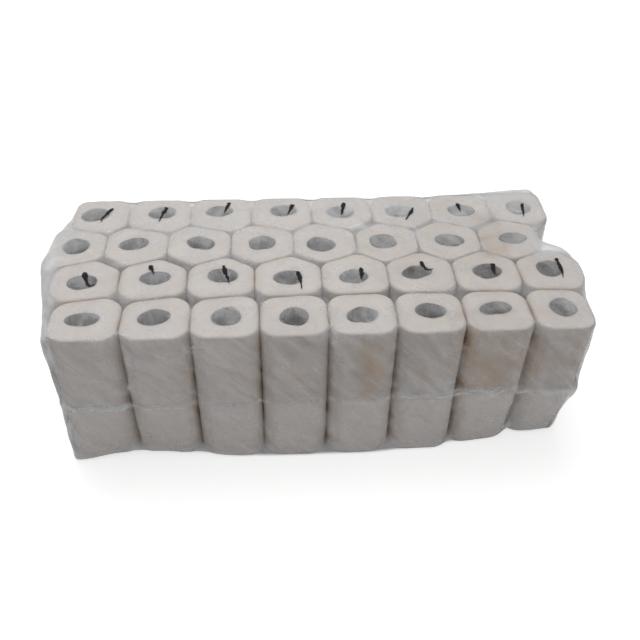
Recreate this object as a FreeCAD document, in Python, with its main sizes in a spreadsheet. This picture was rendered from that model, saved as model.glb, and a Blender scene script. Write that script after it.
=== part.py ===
import FreeCAD, Part
import math
import os
import Sketcher
from FreeCAD import Placement, Rotation, Vector

# A film-wrapped pack of 32 tall kitchen rolls that stand on end in four rows of eight.
# +X runs along the rows from left to right, +Y from the front row to the back row, +Z up.
# The origin is the middle of the pack's underside. Sizes are millimetres and degrees.

ROWS = "abcd"  # front to back
COLUMNS = range(1, 9)  # left to right
WIDEST_TURN = 72  # degrees from one flat of a roll to the next
LEAST_FLAT = 0.2  # a shorter flat is left out

DRIVING = (
    ("roll_height", 230, "width of the sheet, so the height of a standing roll"),
    ("roll_diameter", 95, "a roll where nothing presses on it"),
    ("corner_ease", 15, "curve of a roll between two of its flats"),
    ("near_touch", 2, "rolls that would clear each other by twice this still ease off"),
    ("contact_gap", 0.3, "between two rolls that press on each other"),
    ("core_bore", 38, "inside of an unsquashed cardboard core"),
    ("pitch_a", 91, "spacing of the rolls in the front row"),
    ("pitch_b", 94, "spacing in the second row"),
    ("pitch_c", 92.5, "spacing in the third row"),
    ("pitch_d", 94, "spacing in the back row"),
    ("shift_b", -4, "middle of the second row, sideways from the front row's"),
    ("shift_c", -41, "middle of the third row, which nests in the gaps of its neighbours"),
    ("shift_d", -10, "middle of the back row"),
    ("step_ab", 86, "from the front row to the second"),
    ("step_bc", 82, "from the second row to the third"),
    ("step_cd", 84, "from the third row to the back row"),
    ("push_right_c1", 4, "the film holds this roll nearer its neighbour"),
    ("push_right_c8", 4, "this one has slid out sideways"),
    ("push_back_d8", 6, "and this corner one backwards"),
    ("lean_6", 3, "feet of column 6 stand this far behind their tops"),
    ("lean_7", 10, "feet of column 7"),
    ("lean_8", 18, "feet of column 8"),
    ("press_front", 42.5, "row middle to the flat that the film presses on the front row"),
    ("press_back", 43, "the same on the back row"),
    ("end_left_a", 50, "middle of roll a1 to the film beside it"),
    ("end_left_c", 35, "the same at c1"),
    ("end_left_d", 38, "at d1"),
    ("end_right_a", 41, "at a8"),
    ("end_right_d", 41, "at d8"),
    ("film_wall", 0.4, "stand-in for a much thinner film"),
    ("film_clearance", 1.8, "film to the rolls beside it"),
    ("film_headroom", 0.4, "film to the rolls above and below"),
    ("notch_round", 22, "curve of the film in the notch at the right end"),
    ("seam_height", 106, "underside of the weld between upper and lower film"),
    ("seam_width", 7, "height of the weld's lip"),
    ("seam_proud", 2.5, "how far the lip stands out"),
)

# The bore of each cardboard core is squashed in its own way: its short axis, the turn of its
# long axis from +X, and how far the middle of that axis is from the middle of its roll.
CORE_SHORT = {
    "a": (24, 26, 34, 35, 27, 28, 24, 35),
    "b": (27, 25, 28, 29, 27, 26, 30, 34),
    "c": (35, 26, 27, 28, 29, 34, 26, 26),
    "d": (28, 27, 26, 28, 28, 27, 28, 35),
}
CORE_TURN = {
    "a": (2, 6, 20, -12, 4, -5, 8, -15),
    "b": (12, 188, -10, 183, 6, 14, 8, -6),
    "c": (-40, 15, -12, 194, 10, 0, -12, 4),
    "d": (14, 186, 8, 186, 4, 172, 3, -35),
}
CORE_X = {
    "a": (-4, 0, 2, 1, 1, 0, -2, 1),
    "b": (-2, 1, 1, -1, 0, -2, 2, 0),
    "c": (1, 0, -2, -4, -5, -5, 2, 4),
    "d": (-1, 1, -1, 1, -2, -1, 2, 1),
}
CORE_Y = {
    "a": (1, -9, 0, -4, -16, 2, 4, 2),
    "b": (-16, 13, -9, 10, -17, -10, 1, 4),
    "c": (0, -8, -9, 12, -18, -2, -14, 0),
    "d": (-10, 16, -7, 17, -16, 9, -18, -5),
}
PUSHED_FLAT = (
    "a2", "a5", "b1", "b2", "b3", "b4", "b5", "b6", "c2", "c3", "c4", "c5", "c7",
    "d1", "d2", "d3", "d4", "d5", "d6", "d7",
)  # the others are squashed from both sides

doc = FreeCAD.newDocument("PaperTowelPack")
sheet = doc.addObject("Spreadsheet::Sheet", "Sizes")


# ---------------------------------------------------------------- sizes

def enter(line, alias, value, note):
    sheet.set(f"A{line}", alias)
    sheet.set(f"B{line}", str(value))
    sheet.set(f"C{line}", note)
    sheet.setAlias(f"B{line}", alias)


def fill_sheet():
    line = 0
    for alias, value, note in DRIVING:
        line += 1
        enter(line, alias, value, note)
    tables = (
        ("core_short", CORE_SHORT, "short axis of this core"),
        ("core_turn", CORE_TURN, "its turn"),
        ("core_x", CORE_X, "its place in the roll, sideways"),
        ("core_y", CORE_Y, "its place in the roll, backwards"),
    )
    for alias, table, note in tables:
        for row in ROWS:
            for column in COLUMNS:
                line += 1
                enter(line, f"{alias}_{row}{column}", table[row][column - 1], note)
    doc.recompute()


def size(formula):
    """The number that a formula on the sheet's sizes comes to."""
    found = sheet.evalExpression(formula.replace("Sizes.", ""))
    return float(getattr(found, "Value", found))


# ---------------------------------------------------------------- layout

def row_x(row):
    return "0" if row == "a" else f"Sizes.shift_{row}"


def row_y(row):
    steps = ("Sizes.step_ab", "Sizes.step_bc", "Sizes.step_cd")
    return " + ".join(("0",) + steps[: ROWS.index(row)])


def roll_middle(row, column):
    """Formulas for the middle of a roll's top, measured from the middle of the front row."""
    across = f"{row_x(row)} + ({column - 4.5}) * Sizes.pitch_{row}"
    back = row_y(row)
    if (row, column) in (("c", 1), ("c", 8)):
        across += f" + Sizes.push_right_{row}{column}"
    if (row, column) == ("d", 8):
        back += " + Sizes.push_back_d8"
    return f"({across})", f"({back})"


def lean(column):
    return f"Sizes.lean_{column}" if column >= 6 else "0"


def pack_middle():
    """Formulas for the middle of the wrap, from the middle of the front row."""
    left = " ; ".join(f"{roll_middle(row, 1)[0]} - Sizes.end_left_{row}" for row in "acd")
    free_side = "Sizes.roll_diameter / 2"
    right = (
        f"{roll_middle('a', 8)[0]} + Sizes.end_right_a ; {roll_middle('b', 8)[0]} + {free_side}"
        f" ; {roll_middle('d', 8)[0]} + Sizes.end_right_d"
    )
    front = "(-Sizes.press_front)"
    back = f"({roll_middle('d', 8)[1]} + {lean(8)} + Sizes.press_back)"
    return f"((min({left}) + max({right})) / 2)", f"(({front} + {back}) / 2)"


def roll_place(row, column):
    """Formulas for the middle of a roll's foot in the pack's own frame."""
    across, back = roll_middle(row, column)
    middle_x, middle_y = pack_middle()
    foot = "Sizes.film_wall + Sizes.film_headroom"
    return f"{across} - {middle_x}", f"{back} + {lean(column)} - {middle_y}", foot


def presses(row, column):
    """Direction and distance of each flat on a roll: its neighbours and the taut film.

    Two rolls that lean differently come closer at one end than at the other, so their shared
    flats give way by that much.
    """
    across, back = roll_middle(row, column)
    found = []
    for other_row in ROWS:
        for other_column in COLUMNS:
            if (other_row, other_column) == (row, column):
                continue
            other_across, other_back = roll_middle(other_row, other_column)
            run = f"({other_across} - {across})"
            rise = f"({other_back} - {back})"
            apart = f"sqrt({run} ^ 2 + {rise} ^ 2)"
            closing = f"min(0 ; ({lean(other_column)} - {lean(column)}) * {rise} / {apart})"
            away = f"({apart} + {closing} - Sizes.contact_gap) / 2"
            found.append((f"atan2({rise}; {run})", away))
    if row == "a":
        found.append(("-90 deg", "Sizes.press_front"))
    if row == "d":
        found.append(("90 deg", "Sizes.press_back"))
    if column == 1 and row in "acd":
        found.append(("180 deg", f"Sizes.end_left_{row}"))
    if column == 8 and row in "ad":
        found.append(("0 deg", f"Sizes.end_right_{row}"))
    reach = size("Sizes.roll_diameter / 2 + Sizes.near_touch")
    near = [Press(*press) for press in found if size(press[1]) < reach]
    return showing(with_free_sides(sorted(near, key=Press.heading)))


class Press:
    """One flat of a roll: the way it faces and how far it is from the middle, as formulas."""

    def __init__(self, facing, away):
        self.facing = facing
        self.away = away

    def heading(self):
        return math.radians(size(self.facing) % 360)

    def reach(self):
        return size(self.away)


def with_free_sides(flats):
    """Adds flats round each stretch that nothing presses, so that it keeps to a free roll."""
    full = []
    for i, flat in enumerate(flats):
        full.append(flat)
        turn = math.degrees(flats[(i + 1) % len(flats)].heading() - flat.heading()) % 360
        steps = math.ceil(turn / WIDEST_TURN)
        for step in range(1, steps):
            facing = f"({flat.facing} + {step * turn / steps} deg)"
            free = "Sizes.roll_diameter / 2"
            drop = f"({free} - Sizes.corner_ease) * (1 - cos({turn / steps / 2} deg))"
            full.append(Press(facing, f"{free} - {drop}"))
    return sorted(full, key=Press.heading)


def showing(flats):
    """Leaves out each flat that the curves at its two ends take up whole."""
    kept = list(flats)
    while True:
        middles = corner_middles(kept)
        for i, flat in enumerate(kept):
            along = (-math.sin(flat.heading()), math.cos(flat.heading()))
            ends = (middles[i - 1], middles[i])
            length = sum((ends[1][axis] - ends[0][axis]) * along[axis] for axis in (0, 1))
            if length < LEAST_FLAT:
                kept.remove(flat)
                break
        else:
            return kept


def corner_middles(flats):
    """The middle of the curve that follows each flat."""
    radius = size("Sizes.corner_ease")
    middles = []
    for i, flat in enumerate(flats):
        following = flats[(i + 1) % len(flats)]
        start, end = flat.heading(), following.heading()
        near, far = flat.reach() - radius, following.reach() - radius
        cross = math.sin(end - start)
        x = (near * math.sin(end) - far * math.sin(start)) / cross
        y = (far * math.cos(start) - near * math.cos(end)) / cross
        middles.append((x, y))
    return middles


# ---------------------------------------------------------------- sketches

def new_body(name):
    return doc.addObject("PartDesign::Body", name)


def new_sketch(body, name, height=None):
    """A sketch on the body's own XY plane, or a stated height above it."""
    sketch = body.newObject("Sketcher::SketchObject", name)
    plane = next(item for item in body.Origin.OriginFeatures if item.Role == "XY_Plane")
    sketch.AttachmentSupport = [(plane, "")]
    sketch.MapMode = "FlatFace"
    if height:
        sketch.setExpression("AttachmentOffset.Base.z", height)
    return sketch


def bind(sketch, name, constraint, formula):
    """Adds a constraint and ties its value to the sheet."""
    index = sketch.addConstraint(constraint)
    sketch.renameConstraint(index, name)
    sketch.setExpression(f"Constraints.{name}", formula)


def arc(centre, radius, start, end):
    """The shorter way of saying an arc, which runs anticlockwise from start to end."""
    circle = Part.Circle(Vector(centre[0], centre[1], 0), Vector(0, 0, 1), radius)
    return Part.ArcOfCircle(circle, start, end)


def polar(radius, angle, centre=(0, 0)):
    return centre[0] + radius * math.cos(angle), centre[1] + radius * math.sin(angle)


def roll_outline(sketch, row, column):
    """A roll pressed flat towards each neighbour, with one curve between each two flats."""
    radius = size("Sizes.corner_ease")
    flats = presses(row, column)
    middles = corner_middles(flats)
    joined = []
    for i, flat in enumerate(flats):
        heading = flat.heading()
        turned = (flats[(i + 1) % len(flats)].heading() - heading) % (2 * math.pi)
        first = Vector(*polar(radius, heading, middles[i - 1]), 0)
        last = Vector(*polar(radius, heading, middles[i]), 0)
        line = sketch.addGeometry(Part.LineSegment(first, last), False)
        joined.append((line, 1, 2))
        away = Sketcher.Constraint("Distance", -1, 1, line, flat.reach())
        bind(sketch, f"flat{i}", away, flat.away)
        bearing = Sketcher.Constraint("Angle", line, heading + math.pi / 2)
        bind(sketch, f"bearing{i}", bearing, f"{flat.facing} + 90 deg")
        curve = sketch.addGeometry(arc(middles[i], radius, heading, heading + turned), False)
        joined.append((curve, 1, 2))
        rounding = Sketcher.Constraint("Radius", curve, radius)
        bind(sketch, f"round{i}", rounding, "Sizes.corner_ease")
    close_tangent(sketch, joined)


def close_tangent(sketch, joined):
    """Joins each piece's end to the next one's start, running smoothly from one to the other."""
    for i, (piece, _, end) in enumerate(joined):
        following, start, _ = joined[(i + 1) % len(joined)]
        sketch.addConstraint(Sketcher.Constraint("Tangent", piece, end, following, start))


def bowed_side(sketch, name, row, column, side, long, short):
    """One bowed side of a bore. The bow rises by the short size over the long one."""
    turn = f"(Sizes.core_turn_{row}{column} * 1 deg)"
    radius = f"(({long}) ^ 2 / (8 * ({short})) + ({short}) / 2)"
    inwards = f"({side} * (({short}) - {radius}))"
    x = f"Sizes.core_x_{row}{column} - {inwards} * sin({turn})"
    y = f"Sizes.core_y_{row}{column} + {inwards} * cos({turn})"
    swing = 2 * math.atan(2 * size(short) / size(long))
    facing = math.radians(size(turn) + 90 * side)
    shape = arc((size(x), size(y)), size(radius), facing - swing, facing + swing)
    curve = sketch.addGeometry(shape, False)
    bind(sketch, f"{name}_x", Sketcher.Constraint("DistanceX", -1, 1, curve, 3, size(x)), x)
    bind(sketch, f"{name}_y", Sketcher.Constraint("DistanceY", -1, 1, curve, 3, size(y)), y)
    bow = Sketcher.Constraint("Radius", curve, size(radius))
    bind(sketch, f"{name}_bow", bow, radius)
    return curve


def lens(sketch, row, column):
    """The bore of a core squashed from both sides, which meet in a crease at each tip.

    The core keeps about its girth, which gives the long axis from the short one.
    """
    short = f"Sizes.core_short_{row}{column}"
    long = f"sqrt(2 * Sizes.core_bore ^ 2 - {short} ^ 2)"
    half = f"{short} / 2"
    back = bowed_side(sketch, "back", row, column, 1, long, half)
    front = bowed_side(sketch, "front", row, column, -1, long, half)
    for here, there in ((back, front), (front, back)):
        sketch.addConstraint(Sketcher.Constraint("Coincident", here, 2, there, 1))


def half_moon(sketch, row, column):
    """The bore of a core pushed flat from one side, again with about its whole girth."""
    short = f"Sizes.core_short_{row}{column}"
    long = f"(pi * Sizes.core_bore / 2 - 8 * {short} ^ 2 / (3 * pi * Sizes.core_bore))"
    turn = f"(Sizes.core_turn_{row}{column} * 1 deg)"
    bow = bowed_side(sketch, "bow", row, column, 1, long, short)
    angle, reach = math.radians(size(turn)), size(long) / 2
    middle = (size(f"Sizes.core_x_{row}{column}"), size(f"Sizes.core_y_{row}{column}"))
    tips = [Vector(*polar(way * reach, angle, middle), 0) for way in (-1, 1)]
    flat = sketch.addGeometry(Part.LineSegment(*tips), False)
    for here, there in ((bow, flat), (flat, bow)):
        sketch.addConstraint(Sketcher.Constraint("Coincident", here, 2, there, 1))
    bearing = Sketcher.Constraint("Angle", flat, angle)
    bind(sketch, "flat_bearing", bearing, turn)
    bind(sketch, "flat_long", Sketcher.Constraint("Distance", flat, size(long)), long)


def stand(feature, column):
    """Makes a feature run up its roll, which leans forwards from its foot in the last columns."""
    feature.UseCustomVector = True
    feature.Direction = Vector(0, -size(lean(column)), size("Sizes.roll_height"))
    feature.setExpression("Direction.y", f"-({lean(column)})")
    feature.setExpression("Direction.z", "Sizes.roll_height")
    feature.AlongSketchNormal = True
    feature.setExpression("Length", "Sizes.roll_height")


def place(item, row, column):
    for axis, formula in zip("xyz", roll_place(row, column)):
        item.setExpression(f"Placement.Base.{axis}", formula)


# ---------------------------------------------------------------- pieces

def make_roll(row, column):
    """One wound roll on its core, pressed by its neighbours."""
    body = new_body(f"roll_{row}{column}")
    outline = new_sketch(body, f"outline_{row}{column}")
    roll_outline(outline, row, column)
    wound = body.newObject("PartDesign::Pad", f"wound_{row}{column}")
    wound.Profile = outline
    stand(wound, column)
    mouth = new_sketch(body, f"mouth_{row}{column}")
    squash = half_moon if f"{row}{column}" in PUSHED_FLAT else lens
    squash(mouth, row, column)
    bore = body.newObject("PartDesign::Pocket", f"bore_{row}{column}")
    bore.Profile = mouth
    stand(bore, column)
    place(body, row, column)
    return body


def film_corner_at(row, column, side, depth, side_press, depth_press, leaning=False):
    """A corner of the wrap round an end roll, as the middle of its curve."""
    across, back = roll_middle(row, column)
    if leaning:
        back = f"{back} + {lean(column)}"
    x = f"{across} + ({side}) * ({side_press} - Sizes.corner_ease)"
    y = f"{back} + ({depth}) * ({depth_press} - Sizes.corner_ease)"
    return x, y, "Sizes.corner_ease + Sizes.film_clearance", 1


def film_path():
    """The curves that the wrap goes round, anticlockwise from the front left corner.

    Each is the middle of a curve, its radius at the film's inner face, and 1 where the film
    goes round a roll or -1 where it turns into the notch behind roll b8.
    """
    free = "Sizes.roll_diameter / 2"
    round_roll = f"{free} + Sizes.film_clearance"
    b8_across, b8_back = roll_middle("b", 8)
    c8_across, c8_back = roll_middle("c", 8)
    notch_x = f"{c8_across} + {round_roll} + Sizes.notch_round"
    notch_y = f"{c8_back} + {lean(8)} / 2"
    return (
        film_corner_at("a", 1, -1, -1, "Sizes.end_left_a", "Sizes.press_front"),
        film_corner_at("a", 8, 1, -1, "Sizes.end_right_a", "Sizes.press_front"),
        (b8_across, b8_back, round_roll, 1),
        (b8_across, f"{b8_back} + {lean(8)}", round_roll, 1),
        (notch_x, notch_y, "Sizes.notch_round", -1),
        film_corner_at("d", 8, 1, -1, "Sizes.end_right_d", free),
        film_corner_at("d", 8, 1, 1, "Sizes.end_right_d", "Sizes.press_back", leaning=True),
        film_corner_at("d", 1, -1, 1, "Sizes.end_left_d", "Sizes.press_back"),
        film_corner_at("c", 1, -1, 1, "Sizes.end_left_c", free),
        film_corner_at("c", 1, -1, -1, "Sizes.end_left_c", free),
    )


def film_outline(sketch, grow):
    """The wrap's plan: curves round the end rolls, joined by the lines that touch them both."""
    curves = []
    for x, y, radius, way in film_path():
        spread = f"({radius}) + ({grow})" if way > 0 else f"({radius}) - ({grow})"
        curves.append(((size(x), size(y)), size(spread), way, (x, y, spread)))
    facings = []
    for i, (here, radius, way, _) in enumerate(curves):
        there, next_radius, next_way, _ = curves[(i + 1) % len(curves)]
        run, rise = there[0] - here[0], there[1] - here[1]
        swing = math.acos((way * radius - next_way * next_radius) / math.hypot(run, rise))
        facings.append(math.atan2(rise, run) - swing)
    joined = []
    for i, (here, radius, way, formulas) in enumerate(curves):
        there, next_radius, next_way, _ = curves[(i + 1) % len(curves)]
        arrive, leave = facings[i - 1], facings[i]
        if way > 0:
            curve = sketch.addGeometry(arc(here, radius, arrive, leave), False)
            joined.append((curve, 1, 2))
        else:
            turned = arc(here, radius, leave + math.pi, arrive + math.pi)
            curve = sketch.addGeometry(turned, False)
            joined.append((curve, 2, 1))
        x, y, spread = formulas
        across = Sketcher.Constraint("DistanceX", -1, 1, curve, 3, here[0])
        bind(sketch, f"x{i}", across, x)
        back = Sketcher.Constraint("DistanceY", -1, 1, curve, 3, here[1])
        bind(sketch, f"y{i}", back, y)
        bind(sketch, f"round{i}", Sketcher.Constraint("Radius", curve, radius), spread)
        first = Vector(*polar(way * radius, leave, here), 0)
        last = Vector(*polar(next_way * next_radius, leave, there), 0)
        line = sketch.addGeometry(Part.LineSegment(first, last), False)
        joined.append((line, 1, 2))
    close_tangent(sketch, joined)


def film_block(name, grow, foot, height):
    """A solid to the wrap's plan, grown outwards by a stated amount."""
    body = new_body(name)
    plan = new_sketch(body, f"plan_of_{name}", foot)
    film_outline(plan, grow)
    pad = body.newObject("PartDesign::Pad", f"height_of_{name}")
    pad.Profile = plan
    pad.setExpression("Length", height)
    return body


def make_film():
    """The closed wrap: upper and lower film, welded to each other all round at the seam."""
    inside = "Sizes.roll_height + 2 * Sizes.film_headroom"
    outside = f"{inside} + 2 * Sizes.film_wall"
    outer = film_block("film_outside", "Sizes.film_wall", "0", outside)
    proud = "Sizes.film_wall + Sizes.seam_proud"
    lip = film_block("seam_lip", proud, "Sizes.seam_height", "Sizes.seam_width")
    hollow = film_block("film_inside", "0", "Sizes.film_wall", inside)
    skin = doc.addObject("Part::Fuse", "film_with_lip")
    skin.Base = outer
    skin.Tool = lip
    wrap = doc.addObject("Part::Cut", "film_wrap")
    wrap.Base = skin
    wrap.Tool = hollow
    middle_x, middle_y = pack_middle()
    wrap.setExpression("Placement.Base.x", f"-{middle_x}")
    wrap.setExpression("Placement.Base.y", f"-{middle_y}")
    return wrap


# ---------------------------------------------------------------- build

def check_all():
    for item in doc.Objects:
        if "Invalid" in item.State or "Error" in item.State:
            raise RuntimeError(f"{item.Label} did not build: {item.State}")


def write(pieces):
    os.makedirs("parts", exist_ok=True)
    for piece in pieces:
        shape = piece.Shape
        if shape.isNull() or not shape.isValid():
            raise RuntimeError(f"{piece.Label} has no valid shape")
        shape.exportStep(f"parts/{piece.Label}.step")


def main():
    fill_sheet()
    pieces = [make_roll(row, column) for row in ROWS for column in COLUMNS]
    pieces.append(make_film())
    doc.recompute()
    check_all()
    write(pieces)


main()
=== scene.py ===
import math

import bpy
import numpy as np
from mathutils import Matrix, Vector, geometry


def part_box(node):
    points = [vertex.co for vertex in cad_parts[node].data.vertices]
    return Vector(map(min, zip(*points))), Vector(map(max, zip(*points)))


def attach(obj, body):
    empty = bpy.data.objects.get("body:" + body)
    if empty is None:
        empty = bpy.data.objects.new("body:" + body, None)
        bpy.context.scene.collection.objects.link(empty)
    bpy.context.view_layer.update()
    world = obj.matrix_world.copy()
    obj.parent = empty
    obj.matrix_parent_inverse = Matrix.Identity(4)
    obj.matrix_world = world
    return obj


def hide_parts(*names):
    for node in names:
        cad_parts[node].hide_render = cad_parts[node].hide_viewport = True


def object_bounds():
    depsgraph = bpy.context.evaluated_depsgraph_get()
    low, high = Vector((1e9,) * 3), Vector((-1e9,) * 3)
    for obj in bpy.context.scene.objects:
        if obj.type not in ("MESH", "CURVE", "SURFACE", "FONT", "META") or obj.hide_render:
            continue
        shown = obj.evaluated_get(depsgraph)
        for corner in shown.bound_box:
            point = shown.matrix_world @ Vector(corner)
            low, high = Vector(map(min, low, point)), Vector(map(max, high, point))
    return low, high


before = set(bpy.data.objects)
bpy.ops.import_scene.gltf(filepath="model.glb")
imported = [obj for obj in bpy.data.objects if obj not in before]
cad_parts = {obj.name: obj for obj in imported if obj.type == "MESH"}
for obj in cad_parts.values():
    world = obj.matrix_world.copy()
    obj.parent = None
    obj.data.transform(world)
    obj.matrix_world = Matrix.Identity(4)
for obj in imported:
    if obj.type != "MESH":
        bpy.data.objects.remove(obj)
cad_low, cad_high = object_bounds()

bl_info = {
    "name": "Paper towel pack",
    "version": (1, 0, 0),
    "blender": (4, 5, 0),
    "location": "View3D > Sidebar > Towel pack",
    "description": "Makes a film-wrapped pack of tall paper towel rolls round its packed frame",
    "category": "Add Mesh",
}

ROWS = "abcd"  # front to back
COLUMNS = range(1, 9)  # left to right
ROLLS = [f"{row}{column}" for row in ROWS for column in COLUMNS]
BODY = "root"
MM = 0.001
SEED = 32

BLANK_BORE = 20 * MM  # a roll as it leaves the winder, before it is pressed into the pack
BLANK_RADIUS = 47.5 * MM
BLANK_HEIGHT = 230 * MM
AROUND = 96  # points round a roll
BEARINGS = np.linspace(-math.pi, math.pi, AROUND, endpoint=False)
NEIGHBOUR = 0.15  # two rolls whose middles are nearer than this may press on each other
ROLL_REACH = 75 * MM  # further than this from a roll's middle it holds no film up
BORE_WITHIN = 34 * MM  # of a roll's middle: what its CAD node has there is its bore
BORE_SET_BACK = 1.5 * MM
ROLL_GAP = 0.3 * MM  # between two rolls that press on each other
CORNER_SWELL = 8 * MM  # pressed paper fills this much of the empty corners between rolls
CORNER_RADIUS = {"a": 24 * MM, "b": 20 * MM, "c": 19 * MM, "d": 18 * MM}
LOOSE_SWELL = 2.5 * MM  # most that a roll grows where it only nearly touches the next
PRESSED_APART = 0.2 * MM  # a roll's side is drawn in by this, so that its dents stay clear
INSIDE_WRAP = 1.5 * MM  # a roll's corner stays this far inside the film's plan

# The pack has slumped: its front feet near both ends, and its right front corner.
FEET_RAISED, FEET_SET_BACK, CORNER_PUSHED_IN = 4 * MM, 9 * MM, 4.5 * MM

WELD_UP = 109 * MM  # from the film's foot up to the weld between its two sheets
PULL_TURN = (0.0, math.radians(-43), math.radians(20))  # which way the film was pulled

# Brown marks where damp or dust got at the paper, and in the last three rows a broad darkening
# of the upper fronts of rolls a4, a6 and a8: the low and high corner of each patch in mm, how
# softly it ends, in mm, and its strength.
STAINS = (
    ((52, -200, 114), (104, -140, 222), 10, 0.75),
    ((172, -200, 150), (206, -140, 232), 9, 0.5),
    ((186, -200, 116), (262, -140, 226), 10, 0.8),
    ((262, -200, 112), (306, -140, 215), 12, 0.65),
    ((130, -200, 112), (150, -140, 190), 8, 0.3),
    ((245, -20, 215), (292, 100, 240), 12, 0.55),
    ((120, 60, 215), (235, 150, 240), 30, 0.28),
    ((60, -60, 215), (330, 60, 240), 45, 0.22),
    ((-50, -200, 120), (5, -140, 226), 26, 0.2),
    ((110, -200, 130), (190, -140, 226), 26, 0.16),
    ((300, -200, 116), (366, -140, 226), 26, 0.28),
)

# Where the film crumpled as it shrank on the front: middle and half size of each place across
# and up, in mm, and its strength.
CRUMPLES = (
    (-334, 108, 7, 4, 0.9), (-281, 106, 22, 6, 1.0), (-298, 114, 34, 9, 0.4),
    (-255, 141, 6, 10, 0.7), (-250, 178, 3, 30, 0.5), (-170, 213, 12, 12, 0.4),
    (20, 222, 10, 12, 0.5), (42, 133, 8, 5, 0.4), (136, 115, 26, 3, 0.5),
    (178, 137, 7, 4, 0.7), (206, 117, 42, 4, 0.8), (246, 117, 14, 7, 1.0),
    (273, 119, 5, 5, 1.0), (173, 234, 6, 6, 0.7), (341, 236, 8, 7, 0.7),
)

# Marks of a black felt pen on the film over the second and the back row: points in mm.
PEN_MARKS = (
    ((-325, -32), (-319, -52), (-313, -68), (-303, -61)),
    ((-235, -20), (-231, -31), (-227, -42)),
    ((-131, -23), (-128, -38), (-124, -54), (-121, -69)),
    ((-27, -41), (-24, -53), (-22, -66), (-21, -86)),
    ((65, -35), (64, -52), (63, -68)),
    ((152, -24), (155, -37), (159, -48), (169, -43)),
    ((256, -32), (254, -47), (253, -62)),
    ((351, -22), (352, -40), (352, -56), (349, -73)),
    ((-307, 134), (-315, 118), (-321, 104), (-321, 92)),
    ((-225, 134), (-228, 121), (-230, 109), (-234, 90)),
    ((-127, 146), (-132, 127), (-135, 109)),
    ((-27, 136), (-31, 122), (-37, 103)),
    ((55, 140), (51, 119), (47, 98)),
    ((164, 121), (158, 108), (153, 97), (145, 83)),
    ((235, 131), (236, 119), (237, 106)),
    ((340, 128), (338, 117), (336, 105), (332, 85)),
)
PEN_WIDTHS = (5.2, 6.0, 5.6, 4.2, 2.2, 0.8)  # mm at the start of a stroke and along to its tail
INK_UP = 0.35 * MM  # over the film
INK_THICKNESS = 0.15 * MM


# ---------------------------------------------------------------- helpers

def srgb(code):
    """A hex colour as the linear numbers that a shader takes."""
    channels = [int(code[i : i + 2], 16) / 255 for i in (0, 2, 4)]
    linear = [c / 12.92 if c <= 0.04045 else ((c + 0.055) / 1.055) ** 2.4 for c in channels]
    return (*linear, 1.0)


def add_node(tree, kind, inputs=None, **settings):
    """Adds a node, sets it up, and fills its inputs with values or with other nodes' outputs."""
    node = tree.nodes.new(kind)
    for name, value in settings.items():
        setattr(node, name, value)
    for name, value in (inputs or {}).items():
        if isinstance(value, bpy.types.NodeSocket):
            tree.links.new(value, node.inputs[name])
        else:
            node.inputs[name].default_value = value
    return node


def new_material(name):
    """A node material, its tree, and the output node, which is all there is in it."""
    material = bpy.data.materials.new(name)
    material.use_nodes = True
    tree = material.node_tree
    tree.nodes.clear()
    output = add_node(tree, "ShaderNodeOutputMaterial")
    return material, tree, output


def seen_directly(tree):
    """A socket that is 1 for what the camera sees, also in a gloss and through the film."""
    rays = add_node(tree, "ShaderNodeLightPath").outputs
    either = add_node(tree, "ShaderNodeMath", {
        0: rays["Is Camera Ray"], 1: rays["Is Glossy Ray"]}, operation="MAXIMUM")
    any_of = add_node(tree, "ShaderNodeMath", {
        0: either.outputs[0], 1: rays["Is Transmission Ray"]}, operation="MAXIMUM")
    return any_of.outputs[0]


def deselect():
    bpy.ops.object.select_all(action="DESELECT")


def face_outward():
    """Turns all the faces of the active piece outward."""
    bpy.ops.object.mode_set(mode="EDIT")
    bpy.ops.mesh.select_all(action="SELECT")
    bpy.ops.mesh.normals_make_consistent(inside=False)
    bpy.ops.object.mode_set(mode="OBJECT")


def points_of(mesh):
    flat = np.empty(len(mesh.vertices) * 3)
    mesh.vertices.foreach_get("co", flat)
    return flat.reshape(-1, 3)


def set_points(mesh, points):
    mesh.vertices.foreach_set("co", np.ascontiguousarray(points, dtype=float).ravel())
    mesh.update()


def add_attribute(mesh, name, values):
    attribute = mesh.attributes.new(name, "FLOAT", "POINT")
    attribute.data.foreach_set("value", np.ascontiguousarray(values, dtype=float).ravel())


def add_uv(mesh, along, up):
    """A UV map in metres. along wraps at the seam, so each face's corners are kept together."""
    layer = mesh.uv_layers.new(name="wound")
    corner = np.empty(len(mesh.loops), dtype=int)
    mesh.loops.foreach_get("vertex_index", corner)
    starts = np.empty(len(mesh.polygons), dtype=int)
    totals = np.empty(len(mesh.polygons), dtype=int)
    mesh.polygons.foreach_get("loop_start", starts)
    mesh.polygons.foreach_get("loop_total", totals)
    face = np.repeat(np.arange(len(totals)), totals)
    u = along[corner]
    span = along.max() - along.min()
    top = np.maximum.reduceat(u, starts)[face]
    u = np.where(top - u > span / 2, u + span * AROUND / (AROUND - 1), u)
    layer.data.foreach_set("uv", np.stack([u, up[corner]], 1).ravel())


def bowed(points):
    """Points of the pack as it stands, a little slumped at its front."""
    x, y, z = points.T
    left = smooth_step(-0.358, -0.28, x) * smooth_step(-0.09, -0.24, x)
    right = smooth_step(0.17, 0.31, x) + 0.4 * smooth_step(0.31, 0.37, x)
    slumped = np.maximum(left, right)
    raised = FEET_RAISED * slumped * smooth_step(-0.06, -0.16, y) * smooth_step(0.08, 0.0, z)
    set_back = FEET_SET_BACK * slumped * smooth_step(0.02, -0.17, y) * smooth_step(0.11, 0.0, z)
    pushed = CORNER_PUSHED_IN * smooth_step(0.29, 0.385, x) * smooth_step(-0.03, -0.12, y)
    return points + np.column_stack([-pushed, set_back, raised])


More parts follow.
